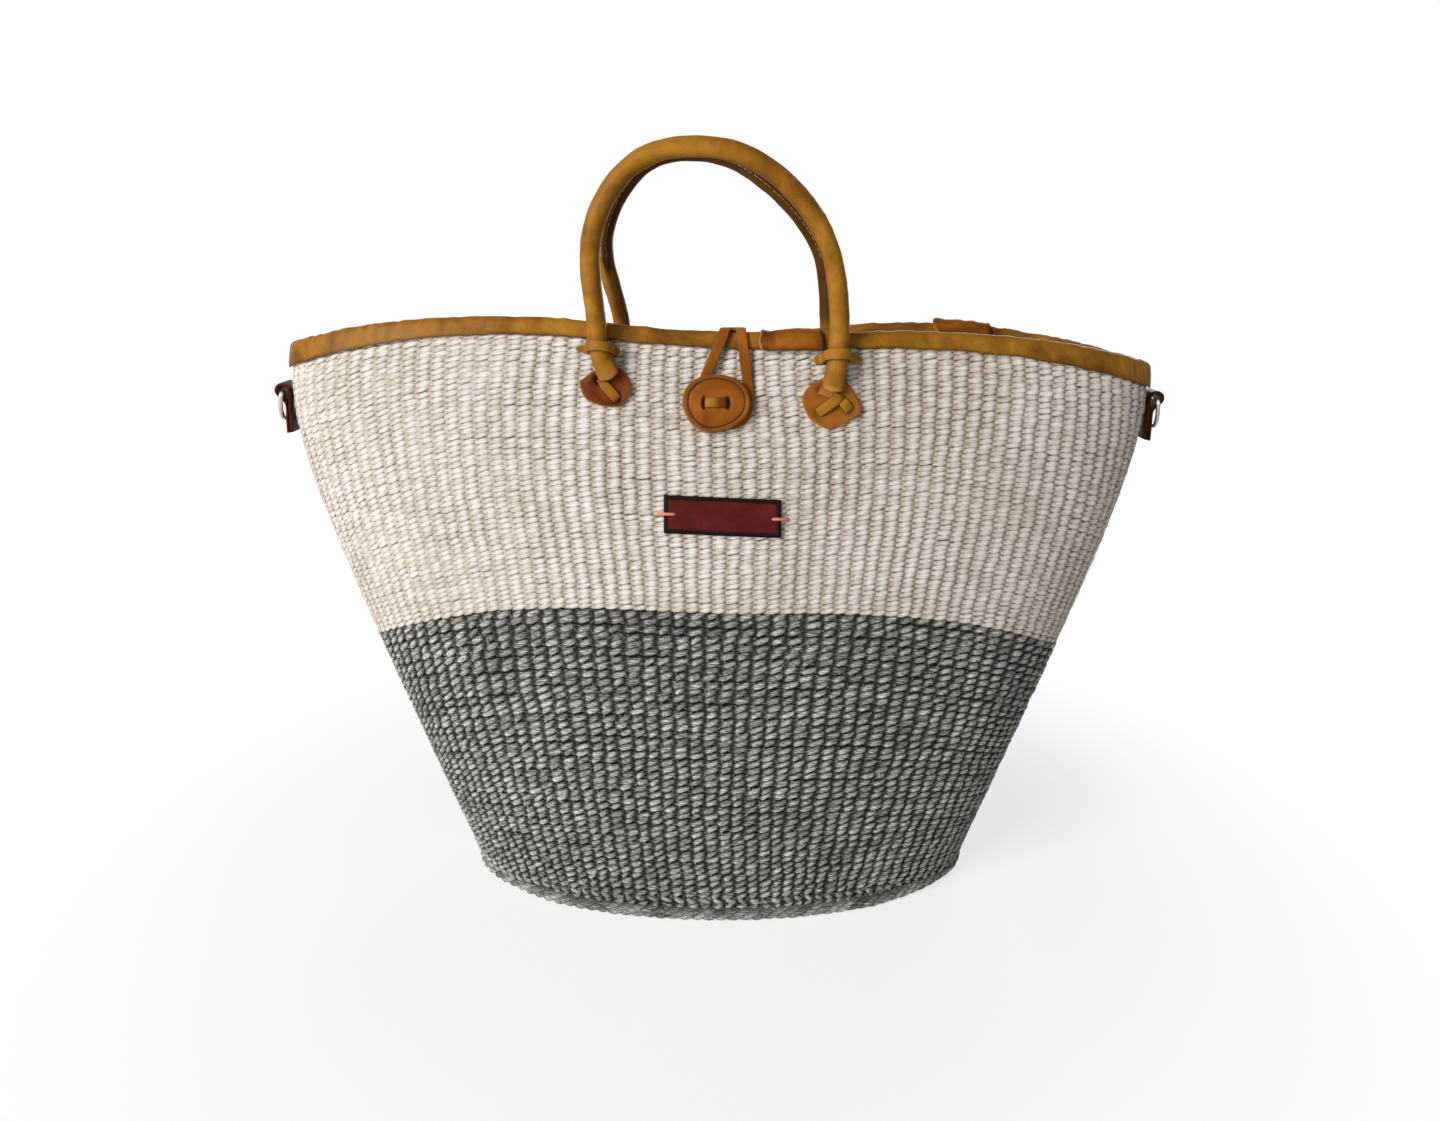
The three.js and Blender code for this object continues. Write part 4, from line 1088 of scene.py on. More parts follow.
@dataclass
class Rim:
    """The rolled leather rim: binding in two strips, and a cover over each place where they meet."""

    front_joint: float = 37.0
    back_joint: float = 141.0
    cover_length: float = 30.0
    cover_radius: float = 5.6
    leather: float = 1.5
    mean_radius: float = 150.0

    def over_rim(self, phi: Points, share: Points, foot: Points, radius: Points) -> Points:
        """Points of a strip that is bent over the rim.

        Args:
            phi: The angle round the bag.
            share: The place across the strip, from its outer foot at 0 to its inner foot at 1.
            foot: How far the strip reaches below the wall's edge.
            radius: How far it lies from the middle of the rim cord and of the wall.

        Returns:
            The points.
        """
        lift = GAP + FORM.cord_radius
        leg = foot + lift
        run = share * (2 * leg + np.pi * radius)
        angle = np.clip((run - leg) / radius, 0, np.pi)
        down = np.maximum(leg - run, 0) + np.maximum(run - leg - np.pi * radius, 0)
        height = radius * np.sin(angle) - down
        beside = radius * np.cos(angle)
        centre, along, out = FORM.rim_frame(phi)
        above = centre + beside[..., None] * out + height[..., None] * along
        row = FORM.row_below_top(phi, np.maximum(down - lift, 0))
        below = FORM.wall_point(phi, row, beside - FORM.wall_thickness / 2)
        return np.where((height < -lift)[..., None], below, above)

    def strip(
        self,
        name: str,
        start: Points,
        end: Points,
        steps: int,
        radius: float,
        seed: int,
        extra_foot: float = 0.0,
        creases: float = 1.0,
        flare: float = 0.0,
    ) -> Mesh:
        """One strip of leather over the rim.

        Args:
            name: The mesh's name.
            start: The angle where it starts, at each place across it.
            end: The angle where it ends.
            steps: Faces along it.
            radius: Its outer radius over the cord.
            seed: Picks its creases.
            extra_foot: How far it reaches below the binding's own lower edge.
            creases: How high its creases are, and how dark the painted shade in their hollows is.
            flare: How far its first end stands off.

        Returns:
            The mesh.
        """
        sheet = Sheet(44, steps)
        share = np.clip(1 - np.abs(2 * sheet.u - 1), 0, 1)
        inside = (sheet.u > 0.5) & (sheet.u < 1)
        phi = start + (end - start) * sheet.v
        length = phi * self.mean_radius
        overlap = FORM.binding_overlap_middle + extra_foot
        overlap = overlap + (FORM.binding_overlap_end - FORM.binding_overlap_middle) * np.cos(phi) ** 2
        # the heights of the foot and of the creases change over so many millimetres
        ragged = 0.35 * cloud(seed, length / 8, 0.0) + 0.25 * cloud(seed + 1, length / 2.6, 0.0)
        across = cloud(seed + 2, length / 3.2 + 1.1 * share, share * 2.2)
        broad = cloud(seed + 3, length / 17, share * 1.5)
        bump = creases * (0.35 * across + 0.4 * broad) * np.sin(np.pi * np.clip(share, 0, 1)) ** 0.5
        bump = bump + flare * smooth_step(0.16, 0.0, sheet.v)
        skin = np.where(inside, radius - self.leather, radius + bump)
        points = self.over_rim(phi, share, overlap + ragged, skin)
        edge = np.where(inside, 0.7, smooth_step(0.07, 0.0, np.minimum(share, 1 - share)))
        # painted shade in the hollows of the creases
        edge = np.maximum(edge, 0.3 * creases * smooth_step(0.1, 0.9, -across - 0.4 * broad))
        ends = 0.8 * smooth_step(0.94, 0.99, sheet.v) if flare else 0 * edge
        raw = smooth_step(0.035, 0.0, sheet.v) * (flare > 0)
        edge = np.clip(edge + ends, 0, 1)
        return sheet.bend(name, points, caps=True, edge=edge, raw=raw + 0 * edge)

    def joint_phi(self, x: float, side: Side) -> float:
        """The angle of a place along the rim."""
        return float(FORM.phi_at(x, FORM.wall_top(side.value * np.pi / 2), side))

    def cover(self, name: str, x: float, side: Side, seed: int) -> Mesh:
        """The short cover over a joint, with its raw, flared end."""
        half = self.cover_length / 2
        left, right = (self.joint_phi(x + d, side) for d in (-half, half))
        share = np.clip(1 - np.abs(np.linspace(-1, 1, 45)), 0, 1)[None, None]
        ragged = 0.012 * cloud(seed, share * 5, 0.0) + 0.012 * smooth_step(0.3, 0.0, share)
        toward = 1 if right < left else -1
        return self.strip(
            name, left + toward * ragged, right - 0.4 * toward * ragged, 60, self.cover_radius, seed + 5,
            extra_foot=0.9, creases=1.5, flare=0.9,
        )

    def build(self) -> None:
        """Adds the binding and the two covers."""
        front = self.joint_phi(self.front_joint, Side.FRONT)
        back = self.joint_phi(self.back_joint, Side.BACK)
        slack = 0.001
        radius = FORM.binding_radius
        left = self.strip("rim_leather_left", front - slack, back - TURN + slack, 460, radius, 21)
        right = self.strip("rim_leather_right", front + slack, back - slack, 300, radius, 31)
        add_piece(left, "bag", "tan_leather", "rim_binding_left")
        add_piece(right, "bag", "tan_leather", "rim_binding_right")
        for x, side, seed in ((self.front_joint, Side.FRONT, 41), (self.back_joint, Side.BACK, 51)):
            mesh = self.cover(f"rim_cover_{side.word}", x, side, seed)
            add_piece(mesh, "bag", "brown_leather", f"rim_joint_cover_{side.word}")


@dataclass(frozen=True)
class PatchForm:
    """A leather patch under a handle's end and what holds the end down, seen from in front of its wall.

    Beside the patch's place, outline and holes and the runs of its thong, it has the two tails of the tie
    above it: their lengths, how far they hang and how much they narrow to a point. Last is how far its dye
    is rubbed off.
    """

    drop: float
    foot_end: tuple[float, float]
    outline: tuple[tuple[float, float], ...]
    legs: tuple[tuple[float, float], ...]
    runs: tuple[tuple[tuple[float, float], tuple[float, float]], ...]
    tails: tuple[float, float]
    hang: tuple[float, float]
    points: tuple[float, float]
    tilt: float
    wear: float


POINTED = PatchForm(
    drop=24,
    foot_end=(3.0, 3.8),
    outline=(
        (-2.6, 11.4), (-4.4, 10.4), (-12.6, 4.6), (-13.6, 3.2), (-13.2, 1.4), (-11.4, -3.4), (-9.6, -5.6),
        (-1.6, -8.4), (6.6, -8.6), (9.2, -7.2), (12.6, -2.6), (13.0, 0.6), (12.4, 3.8), (8.5, 9.4), (4, 12),
    ),
    legs=((-3.9, 4.9), (5.8, -5)),
    runs=(((-3.0, 4.4), (5.8, -5)),),
    tails=(5.6, 1.6),
    hang=(0.4, 0.6),
    points=(0.8, 0.2),
    tilt=-0.1,
    wear=0.0,
)
ROUND = PatchForm(
    drop=26,
    foot_end=(0.2, 4.0),
    outline=(
        (-4.6, 11.6), (-11.2, 7.6), (-14.2, 2.4), (-12.6, -4.6), (-9.6, -9.2), (-1.6, -13.4), (3.6, -12.4),
        (14.2, -6.9), (15.5, -5.4), (15.3, -2.2), (11.8, 5.6), (7.6, 10.6), (2, 13),
    ),
    legs=((-5.8, -5.4), (9.9, -4.2), (-4.8, 6.2)),
    runs=(((-4.8, 6.2), (4.6, 1.4)), ((4.2, 1.8), (9.9, -4.2)), ((-5.8, -5.4), (5.4, 2.2))),
    tails=(3.6, 5.4),
    hang=(1.2, 2.6),
    points=(0.1, 0.8),
    tilt=0.02,
    wear=0.4,
)


@dataclass
class Handle:
    """One rolled leather handle with its two feet.

    The arch rises from the hinges, leans to one side and swells past the spread of its legs. At a
    squareness of 2 it is half an oval, above that it has shoulders. The flange is the sewn seam on the
    mouth side. It starts and stops at a share of the arch.
    """

    side: Side
    middle_x: float
    rise: float
    lean: float
    swell: float
    seed: int
    radius: float = 5.0
    spread: float = 60.8
    squareness: float = 2.3
    flange_width: float = 3.5
    flange_thickness: float = 2.6
    flange_from: float = 0.12
    foot_flattening: float = 0.42
    foot_widening: float = 0.12
    foot_flat_from: float = 17.0
    foot_flat_to: float = 3.0
    tip_rounding: float = 2.5
    stitches: int = 54
    patch_inward: float = 3.8
    patch_leather: float = 2.0
    tie_leather: float = 1.6
    tie_level_height: float = 7.0
    tie_height: float = 5.4
    tie_tail: float = 6.0
    thong_width: float = 4.8
    thong_leather: float = 1.7
    knot: float = 2.0
    centre: Points = field(init=False)
    mouth: Points = field(init=False)
    body: str = field(init=False)
    edge_height: float = field(init=False)

    def __post_init__(self) -> None:
        """Works out the middle between the two hinges, the way to the mouth and the arch's body."""
        side = self.side.value
        self.edge_height = float(FORM.wall_top(side))  # one radian from the right end
        xs = self.middle_x + np.array([-1, 1]) * self.spread
        phis = FORM.phi_at(xs, self.edge_height, self.side)
        beside = np.abs(FORM.binding_foot(phis, GAP + FORM.binding_leather)[:, 1]).max()
        top = FORM.rim_top(phis).max() + 0.5
        self.centre = np.array([self.middle_x, side * (beside + 0.8 + self.radius), top])
        self.mouth = np.array([0, -side, 0.0])
        self.body = f"{self.side.word}_handle"

    def foot_name(self, end: End) -> str:
        """The first words of the names of what is at one end."""
        return f"{self.side.word}_{end.word}"

    def patch_legs(self, form: PatchForm) -> Points:
        """The holes of a patch, where its thong goes through."""
        return np.array([self.flip(leg) for leg in form.legs])

    def arch(self, count: int) -> Points:
        """The middle line of the arch, from the left hinge to the right one."""
        angle = np.pi * (1 - np.linspace(0, 1, 4 * count))
        power = 2 / self.squareness
        reach = np.sign(np.cos(angle)) * np.abs(np.cos(angle)) ** power
        share = np.maximum(0, np.sin(angle)) ** power
        half_width = self.spread + self.swell * np.sin(np.pi * share) ** 2
        x = half_width * reach + self.lean * share**1.2
        dense = self.centre + np.stack([x, 0 * x, self.rise * share], axis=-1)
        return spaced(dense, np.linspace(0, 1, count))

    def patch_place(self, end: End) -> tuple[PatchForm, Place]:
        """The form and the place of the patch at one end."""
        form = POINTED if end is End.LEFT else ROUND
        x = self.middle_x + end.value * (self.spread - self.patch_inward)
        foot = FORM.binding_foot(FORM.phi_at(x, self.edge_height, self.side))
        return form, FORM.place_on_wall(x, foot[2] - form.drop, self.side)

    def flip(self, point: tuple[float, float]) -> Points:
        """A point of a patch, turned over on the back wall."""
        return np.array([-self.side.value * point[0], point[1]])

    def tie_level(self, end: End) -> float:
        """The height of the tie over one handle end."""
        x = self.middle_x + end.value * self.spread
        reach = self.radius + self.tie_leather + self.tie_tail
        phis = FORM.phi_at(x + np.array([-reach, 0, reach]), self.centre[2] - self.radius - GAP, self.side)
        low = FORM.binding_foot(phis, GAP + FORM.binding_leather)[:, 2].min()
        return float(low - 3 * GAP - 0.6 * self.tie_level_height)

    def foot(self, end: End, count: int) -> Points:
        """The middle line of a handle end, from the hinge down to the patch."""
        hinge = self.centre + np.array([end.value * self.spread, 0, 0])
        form, place = self.patch_place(end)
        x, y = self.flip(form.foot_end)
        seat = GAP + self.patch_leather + 4 * GAP + self.radius
        tip = place.at(x, y, seat)
        top = hinge - [0, 0, self.radius + GAP]
        bend = np.array([hinge[0], hinge[1], self.tie_level(end)])
        t = np.linspace(0, 1, 200)[:, None]
        curve = (1 - t) ** 2 * top + 2 * t * (1 - t) * bend + t * t * tip
        return spaced(np.concatenate([hinge[None], curve]), np.linspace(0, 1, count))

    def outlines(self) -> tuple[Points, Points]:
        """The tube's outline with the seam standing up, and the same points on a plain circle."""
        half = self.flange_thickness / 2
        tip = self.radius + self.flange_width
        ridge = [
            (tip, 0), (tip, 0.6 * half), (tip - 0.35, half), (tip - 1.5, half), (self.radius + 0.5, half),
            (self.radius - 0.2, 1.15 * half),
        ]
        rest = np.linspace(0.33, np.pi, 10)[1:]
        turns = np.array([0, 0.07, 0.13, 0.19, 0.26, 0.33, *rest])
        circle = self.radius * np.stack([np.cos(turns), np.sin(turns)], axis=-1)
        seamed = np.array([*ridge, *circle[len(ridge):]])
        seamed, circle = (np.concatenate([one, one[-2::-1] * [1, -1]]) for one in (seamed, circle))
        return seamed, circle

    def tube(self) -> Mesh:
        """The rolled leather from one patch over the arch to the other patch."""
        left, right = (self.foot(end, 30) for end in End)
        line = np.concatenate([left[::-1], self.arch(150)[1:-1], right])
        line = spaced(line, np.linspace(0, 1, 260))
        along = run_lengths(line)
        from_end = np.minimum(along, along[-1] - along)
        seamed, round_one = self.outlines()
        off_hinge = np.abs(line[:, 2] - self.centre[2])
        half_way = len(line) // 2
        start = along[off_hinge[:half_way].argmin()]
        finish = along[half_way + off_hinge[half_way:].argmin()]
        share = (along - start) / (finish - start)
        near = np.minimum(share, 1 - share)
        raised = smooth_step(self.flange_from - 0.02, self.flange_from + 0.03, near)[:, None, None]
        section = round_one * (1 - raised) + seamed * raised
        cap = np.sqrt(np.clip(1 - (1 - np.clip(from_end / self.tip_rounding, 0, 1)) ** 2, 0.04, 1))
        flat = smooth_step(self.foot_flat_from, self.foot_flat_to, from_end)
        section = section * cap[:, None, None]
        section[..., 0] *= (1 - self.foot_flattening * flat)[:, None]
        section[..., 1] *= (1 + self.foot_widening * flat)[:, None]
        turn = np.arctan2(section[..., 1], section[..., 0])
        rough = 0.16 * cloud(self.seed, along[:, None] / 9, 2 + np.cos(turn))
        rough = rough + 0.09 * cloud(self.seed + 1, along[:, None] / 3.1, 3 + 2 * np.sin(turn))
        section = section * (1 + rough[..., None] / self.radius)
        toward_wall = flat[:, None] * self.foot_flattening * self.radius * self.mouth
        cut = smooth_step(2.2, 0.0, from_end)[:, None] + 0 * turn
        seam = smooth_step(self.radius - 0.6, self.radius + self.flange_width - 0.6, section[..., 0])
        # the mask below is painted shade on the inner side of the tube, where the hide is also a little
        # darker; the seam's flange is darker leather
        inner = 0.75 * section[..., 0] + 0.65 * self.side.value * section[..., 1]
        dark = smooth_step(0.2 * self.radius, 0.85 * self.radius, inner)
        rubbed = 0.85 * dark * smooth_step(-0.02, 0.02, near)[:, None] + 0.35 * raised[..., 0] * seam
        return sweep(
            f"{self.body}_leather", line + toward_wall, self.mouth, section,
            edge=np.clip(rubbed, 0, 1), raw=0.6 * cut,
        )

    def seam_stitches(self) -> Mesh:
        """The stitches on both faces of the seam."""
        line = self.arch(400)
        at = np.linspace(self.flange_from + 0.03, 1 - self.flange_from - 0.03, self.stitches)
        picks = np.rint(at * 399).astype(int)
        along = tangents(line)[picks]
        side = unit(self.mouth - (along @ self.mouth)[:, None] * along)
        through = np.cross(along, side)
        row = self.radius + 0.55 * self.flange_width
        lift = self.flange_thickness / 2 + 0.1
        faces = np.concatenate([line[picks] + row * side + k * lift * through for k in (-1, 1)])
        outs = np.concatenate([-through, through])
        return grains(f"{self.body}_stitches", faces, np.tile(along, (2, 1)), outs, 2.9, 0.75, 0.7)

    def tie(self, end: End) -> tuple[Mesh, Points, Place]:
        """The band over a handle end.

        Args:
            end: Which end.

        Returns:
            The mesh, the places of its two legs and the place on the wall.
        """
        level = self.tie_level(end)
        line = self.foot(end, 400)
        pick = int(np.argmin(np.abs(line[:, 2] - level)))
        middle, run = line[pick], tangents(line)[pick]
        place = FORM.place_on_wall(middle[0], level, self.side)
        slope = float(run @ place.right / (run @ place.along))
        centre_out = float((middle - place.origin) @ place.out)
        bend = self.radius + GAP + self.tie_leather / 2 + 0.3
        low = GAP + self.tie_leather / 2
        form = self.patch_place(end)[0]
        way = -int(self.side.value)
        tails, hang, points_at = form.tails[::way], form.hang[::way], form.points[::way]
        first, last = bend + 1.2 + tails[0], bend + 1.2 + tails[1]
        arc = [(bend * math.cos(a), centre_out + bend * math.sin(a)) for a in np.linspace(np.pi, 0, 9)]
        path = smooth_line([
            (-first, low), (-bend - 1.5, low), (-bend - 0.2, low + 1.6), *arc, (bend + 0.2, low + 1.6),
            (bend + 1.5, low), (last, low),
        ], 72)
        x = path[:, 0]
        tail = np.where(x < 0, (-x - bend) / (first - bend), (x - bend) / (last - bend)).clip(0, 1)
        point = np.where(x < 0, points_at[0], points_at[1])
        wide = self.tie_height / 2 * (1 - 0.8 * point * tail**1.4) * np.sqrt(1 - 0.9 * tail**6)
        wide = wide * (1 + 0.1 * cloud(self.seed + 7 + end.value, x / 5 + 9, 0.0))
        drop = way * form.tilt * x - np.where(x < 0, hang[0], hang[1]) * tail**1.5
        section = strap_section(20, wide, self.tie_leather / 2)
        points = place.at(x, drop, path[:, 1])
        grip = np.exp(-((x / (0.9 * bend)) ** 2))[:, None]
        across = place.along + grip * slope * place.right
        mesh = sweep(
            f"{self.foot_name(end)}_tie", points, across, section,
            edge=0.7 * edge_wear(20, 0.86), raw=0.5 * smooth_step(0.85, 1, tail)[:, None],
        )
        leg = bend + 0.5 * self.tie_tail + 0.8
        return mesh, np.array([[-leg, 0], [leg, 0]]), place

    def knots(self, name: str, place: Place, legs: Points) -> Mesh:
        """The knots of thongs inside the wall."""
        centres = place.at(legs[:, 0], legs[:, 1], -(FORM.wall_thickness + GAP + self.knot))
        run = place.along + 0.4 * place.right
        return grains(name, centres, run, place.out, 2.2 * self.knot, 2.1 * self.knot, 2.4 * self.knot)

    def patch(self, end: End) -> Mesh:
        """The leather patch under a handle end."""
        form, place = self.patch_place(end)
        outline = smooth_line([self.flip(point) for point in form.outline], 97, closed=True)
        legs = self.patch_legs(form)
        seed = self.seed + 11 + end.value

        def relief(x: Points, y: Points) -> Points:
            """Dents at the holes and curled, uneven leather."""
            dents = sum(1.1 * np.exp(-((x - a) ** 2 + (y - b) ** 2) / 5) for a, b in legs)
            return 0.45 * cloud(seed, x / 7 + 20, y / 7 + 20) - dents

        def shade(x: Points, y: Points) -> Points:
            """Painted shade in and round the holes."""
            return np.clip(sum(1.5 * np.exp(-((x - a) ** 2 + (y - b) ** 2) / 9) for a, b in legs), 0, 1)

        return plate(
            f"{self.foot_name(end)}_patch", outline, place.at, GAP, GAP + self.patch_leather, relief, shade,
            raw_rim=0.8, wear=form.wear,
        )

    def thong_runs(self, end: End) -> list[Mesh]:
        """The runs of the thong over a patch."""
        form, place = self.patch_place(end)
        height = 2 * GAP + self.patch_leather + self.thong_leather / 2
        meshes = []
        holes = [tuple(leg) for leg in form.legs]
        for number, (a, b) in enumerate(form.runs):
            start, stop = self.flip(a), self.flip(b)
            run = (stop - start) / np.linalg.norm(stop - start)
            flat = [
                start - 0.3 * run, start + 0.5 * run, start + 2 * run, (start + stop) / 2, stop - 2 * run,
                stop - 0.5 * run, stop + 0.3 * run,
            ]
            lift = 0.9 * (number == 2)
            (tip_a, near_a), (tip_b, near_b) = (
                (-3.0, height - 1.0) if hole in holes else (height - 0.6 + lift, height + lift)
                for hole in (a, b)
            )
            levels = [tip_a, near_a, height, height + 0.5 + 0.6 * lift, height + lift, near_b, tip_b]
            line = smooth_line(np.array([place.at(*p, h) for p, h in zip(flat, levels)]), 40)
            across = run[0] * place.along - run[1] * place.right
            share = np.linspace(0, 1, 40)
            from_tip = np.minimum(share, 1 - share)
            wide = self.thong_width / 2 * (0.62 + 0.38 * smooth_step(0, 0.3, from_tip))
            side = np.cos(np.linspace(0, TURN, 17))
            raw = 0.8 * smooth_step(0.75, 1, -self.side.value * side)[None]
            meshes.append(sweep(
                f"{self.foot_name(end)}_thong_{number + 1}", line, across,
                strap_section(16, wide, self.thong_leather / 2), raw=raw,
                # painted shade at the tips, where the thong dives into its holes
                edge=0.6 * smooth_step(0.2, 0.0, from_tip)[:, None],
            ))
        return meshes

    def build(self) -> None:
        """Adds the handle and everything that holds it."""
        ends = [f"{self.foot_name(end)}_handle_end" for end in End]
        tube = add_piece(self.tube(), None, "tan_leather", f"{self.body}_cover", *ends)
        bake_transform(tube)
        add_piece(self.seam_stitches(), self.body, "rope")
        for end in End:
            name = self.foot_name(end)
            tie, tie_legs, tie_place = self.tie(end)
            form, place = self.patch_place(end)
            for mesh, slot, kind in (
                (tie, "tan_leather", "tie"),
                (self.knots(f"{name}_tie_knots", tie_place, tie_legs), "tan_leather", "tie"),
                (self.patch(end), "dark_leather", "patch"),
                *((thong, "tan_leather", "thong") for thong in self.thong_runs(end)),
                (self.knots(f"{name}_thong_knots", place, self.patch_legs(form)), "tan_leather", "thong"),
            ):
                add_piece(mesh, "bag", slot, f"{name}_handle_{kind}")


@dataclass
class Button:
    """The leather button: two ovals sewn together, with a thong through both."""

    x: float = -2.0
    z: float = 291.0
    half_width: float = 17.2
    half_height: float = 14.8
    leather: float = 1.8
    slot_x: float = 4.9
    back: float = 2.4
    inset: float = 2.4
    lower_shift: float = 3.2
    lower_narrowing: float = 0.1
    stitches: int = 46
    thong_width: float = 4.4
    thong_leather: float = 1.5
    stem: float = 2.5
    seed: int = 81

    @property
    def place(self) -> Place:
        """The button's place on the wall."""
        return FORM.place_on_wall(self.x, self.z, Side.FRONT)

    @property
    def middle(self) -> float:
        """The height between the two ovals."""
        return self.back + self.leather + GAP

    @property
    def front(self) -> float:
        """The height of the front oval's face."""
        return self.middle + self.leather

    def oval(self, size: float) -> Points:
        """An oval, cut by hand: flat at the top and pointed at the lower left."""
        angle = np.linspace(0, TURN, 97)
        uneven = 1 + 0.008 * cloud(self.seed, angle / TURN * 9, 0.0, 9)
        low = np.maximum(0, -np.sin(angle))
        across = self.half_width * np.cos(angle) * (1 - self.lower_narrowing * low**2)
        across = across - self.lower_shift * low**4
        up = self.half_height * np.sign(np.sin(angle)) * np.abs(np.sin(angle)) ** np.where(low > 0, 1.0, 0.82)
        return size * uneven[:, None] * np.stack([across, up], axis=-1)

    def layer(self, name: str, size: float, low: float) -> Mesh:
        """One of the two ovals."""
        wide, high = size * self.half_width, size * self.half_height

        def rim(x: Points, y: Points) -> Points:
            """The distance from the edge."""
            low = np.clip(-y / high, 0, 1)
            across = (x + self.lower_shift * low**4) / (1 - self.lower_narrowing * low**2)
            return (1 - np.sqrt((across / wide) ** 2 + (y / high) ** 2)) * (wide + high) / 2

        def slots(x: Points, y: Points) -> Points:
            """How near a point is to one of the slots, which gape beside the thong."""
            half = 1.5 * (1 - np.clip(y / 3.7, -1, 1) ** 2)
            beside = np.abs(np.abs(x) - self.slot_x - 1.0)
            return smooth_step(half + 0.35, half - 0.35, beside) * smooth_step(3.8, 3.3, np.abs(y))

        def relief(x: Points, y: Points) -> Points:
            """A low crown, a groove under the stitches and the slots."""
            groove = np.exp(-(((rim(x, y) - self.inset) / 0.8) ** 2))
            crown = 0.5 * smooth_step(0, 9, rim(x, y))
            return crown - 0.35 * groove - 1.2 * slots(x, y) + 0.12 * cloud(self.seed, x / 5 + 9, y / 5 + 9)

        def shade(x: Points, y: Points) -> Points:
            """Painted shade in the slots, and a little darker at the edge."""
            return np.clip(slots(x, y) + 0.35 * smooth_step(0.9, 0, rim(x, y)), 0, 1)

        face = low + self.leather
        return plate(name, self.oval(size), self.place.at, low, face, relief, shade, raw_rim=0.55)

    def seam(self, offset: float) -> Points:
        """Evenly spaced places on the row of stitches, shifted by a share of a stitch."""
        line = self.oval(1 - self.inset / self.half_height)
        return spaced(line, (np.arange(self.stitches) + offset) / self.stitches)

    def stitch_ring(self) -> Mesh:
        """The stitches round the front oval."""
        ring = self.seam(0.3)
        place = self.place
        centres = place.at(ring[:, 0], ring[:, 1], self.front + 0.05)
        flat = tangents(ring)
        runs = flat[:, :1] * place.right + flat[:, 1:] * place.along
        return grains("button_stitches", centres, runs, place.out, 1.6, 0.95, 0.9)

    def stitch_holes(self) -> Mesh:
        """The awl holes between the stitches."""
        ring = self.seam(0.8)
        place = self.place
        centres = place.at(ring[:, 0], ring[:, 1], self.front - 0.28)
        return grains("button_holes", centres, place.right, place.out, 1.0, 1.0, 0.56)

    def thong(self) -> Mesh:
        """The thong's run over the front."""
        place = self.place
        top = self.front + 0.5 + GAP + self.thong_leather / 2
        half = [
            (self.slot_x, self.back), (self.slot_x, self.front - 0.6), (self.slot_x - 0.5, top - 0.5),
            (self.slot_x - 1.8, top),
        ]
        path = smooth_line([*((-x, z) for x, z in half), (0, top + 0.35), *half[::-1]], 56)
        share = np.linspace(0, 1, 56)
        wide = self.thong_width / 2 * (1 + 0.08 * np.sin(np.pi * share))
        # painted shade: the right part of the run is darker where it dips towards its slot
        shaded_half = smooth_step(0.4, 0.62, share)[:, None]
        line = place.at(path[:, 0], 0.0, path[:, 1])
        section = strap_section(20, wide, self.thong_leather / 2)
        return sweep("button_thong_front", line, place.along, section, edge=0.8 * shaded_half)

    def stem_and_knot(self) -> list[Mesh]:
        """The stem through the wall, the run behind the button and the knot inside."""
        place = self.place
        depth = -(FORM.wall_thickness + GAP + 1.6 * self.stem)
        line = place.at(0.0, 0.0, np.linspace(depth, 1.0, 12))
        stem = sweep("button_stem", line, place.right, round_section(12, self.stem))
        span = place.at(np.linspace(-1, 1, 10) * (self.slot_x + 0.7), 0.0, 1.35)
        behind = sweep("button_thong_back", span, place.along, strap_section(16, self.thong_width / 2, 0.7))
        centre = place.at(np.zeros(1), np.zeros(1), depth)
        knot = grains("button_knot", centre, place.right, place.out, 8.4, 8.0, 7.6)
        return [stem, behind, knot]

    def build(self) -> None:
        """Adds the button."""
        for mesh, slot, node in (
            (self.layer("button_back_leather", 1.0, self.back), "tan_leather", "back_disc"),
            (self.layer("button_front_leather", 0.98, self.middle), "brown_leather", "front_disc"),
            (self.stitch_ring(), "brown_thread", "stitching"),
            (self.stitch_holes(), "dark_leather", "stitching"),
            (self.thong(), "tan_leather", "thong"),
            *((mesh, "tan_leather", "thong") for mesh in self.stem_and_knot()),
        ):
            add_piece(mesh, "button", slot, f"button_{node}")


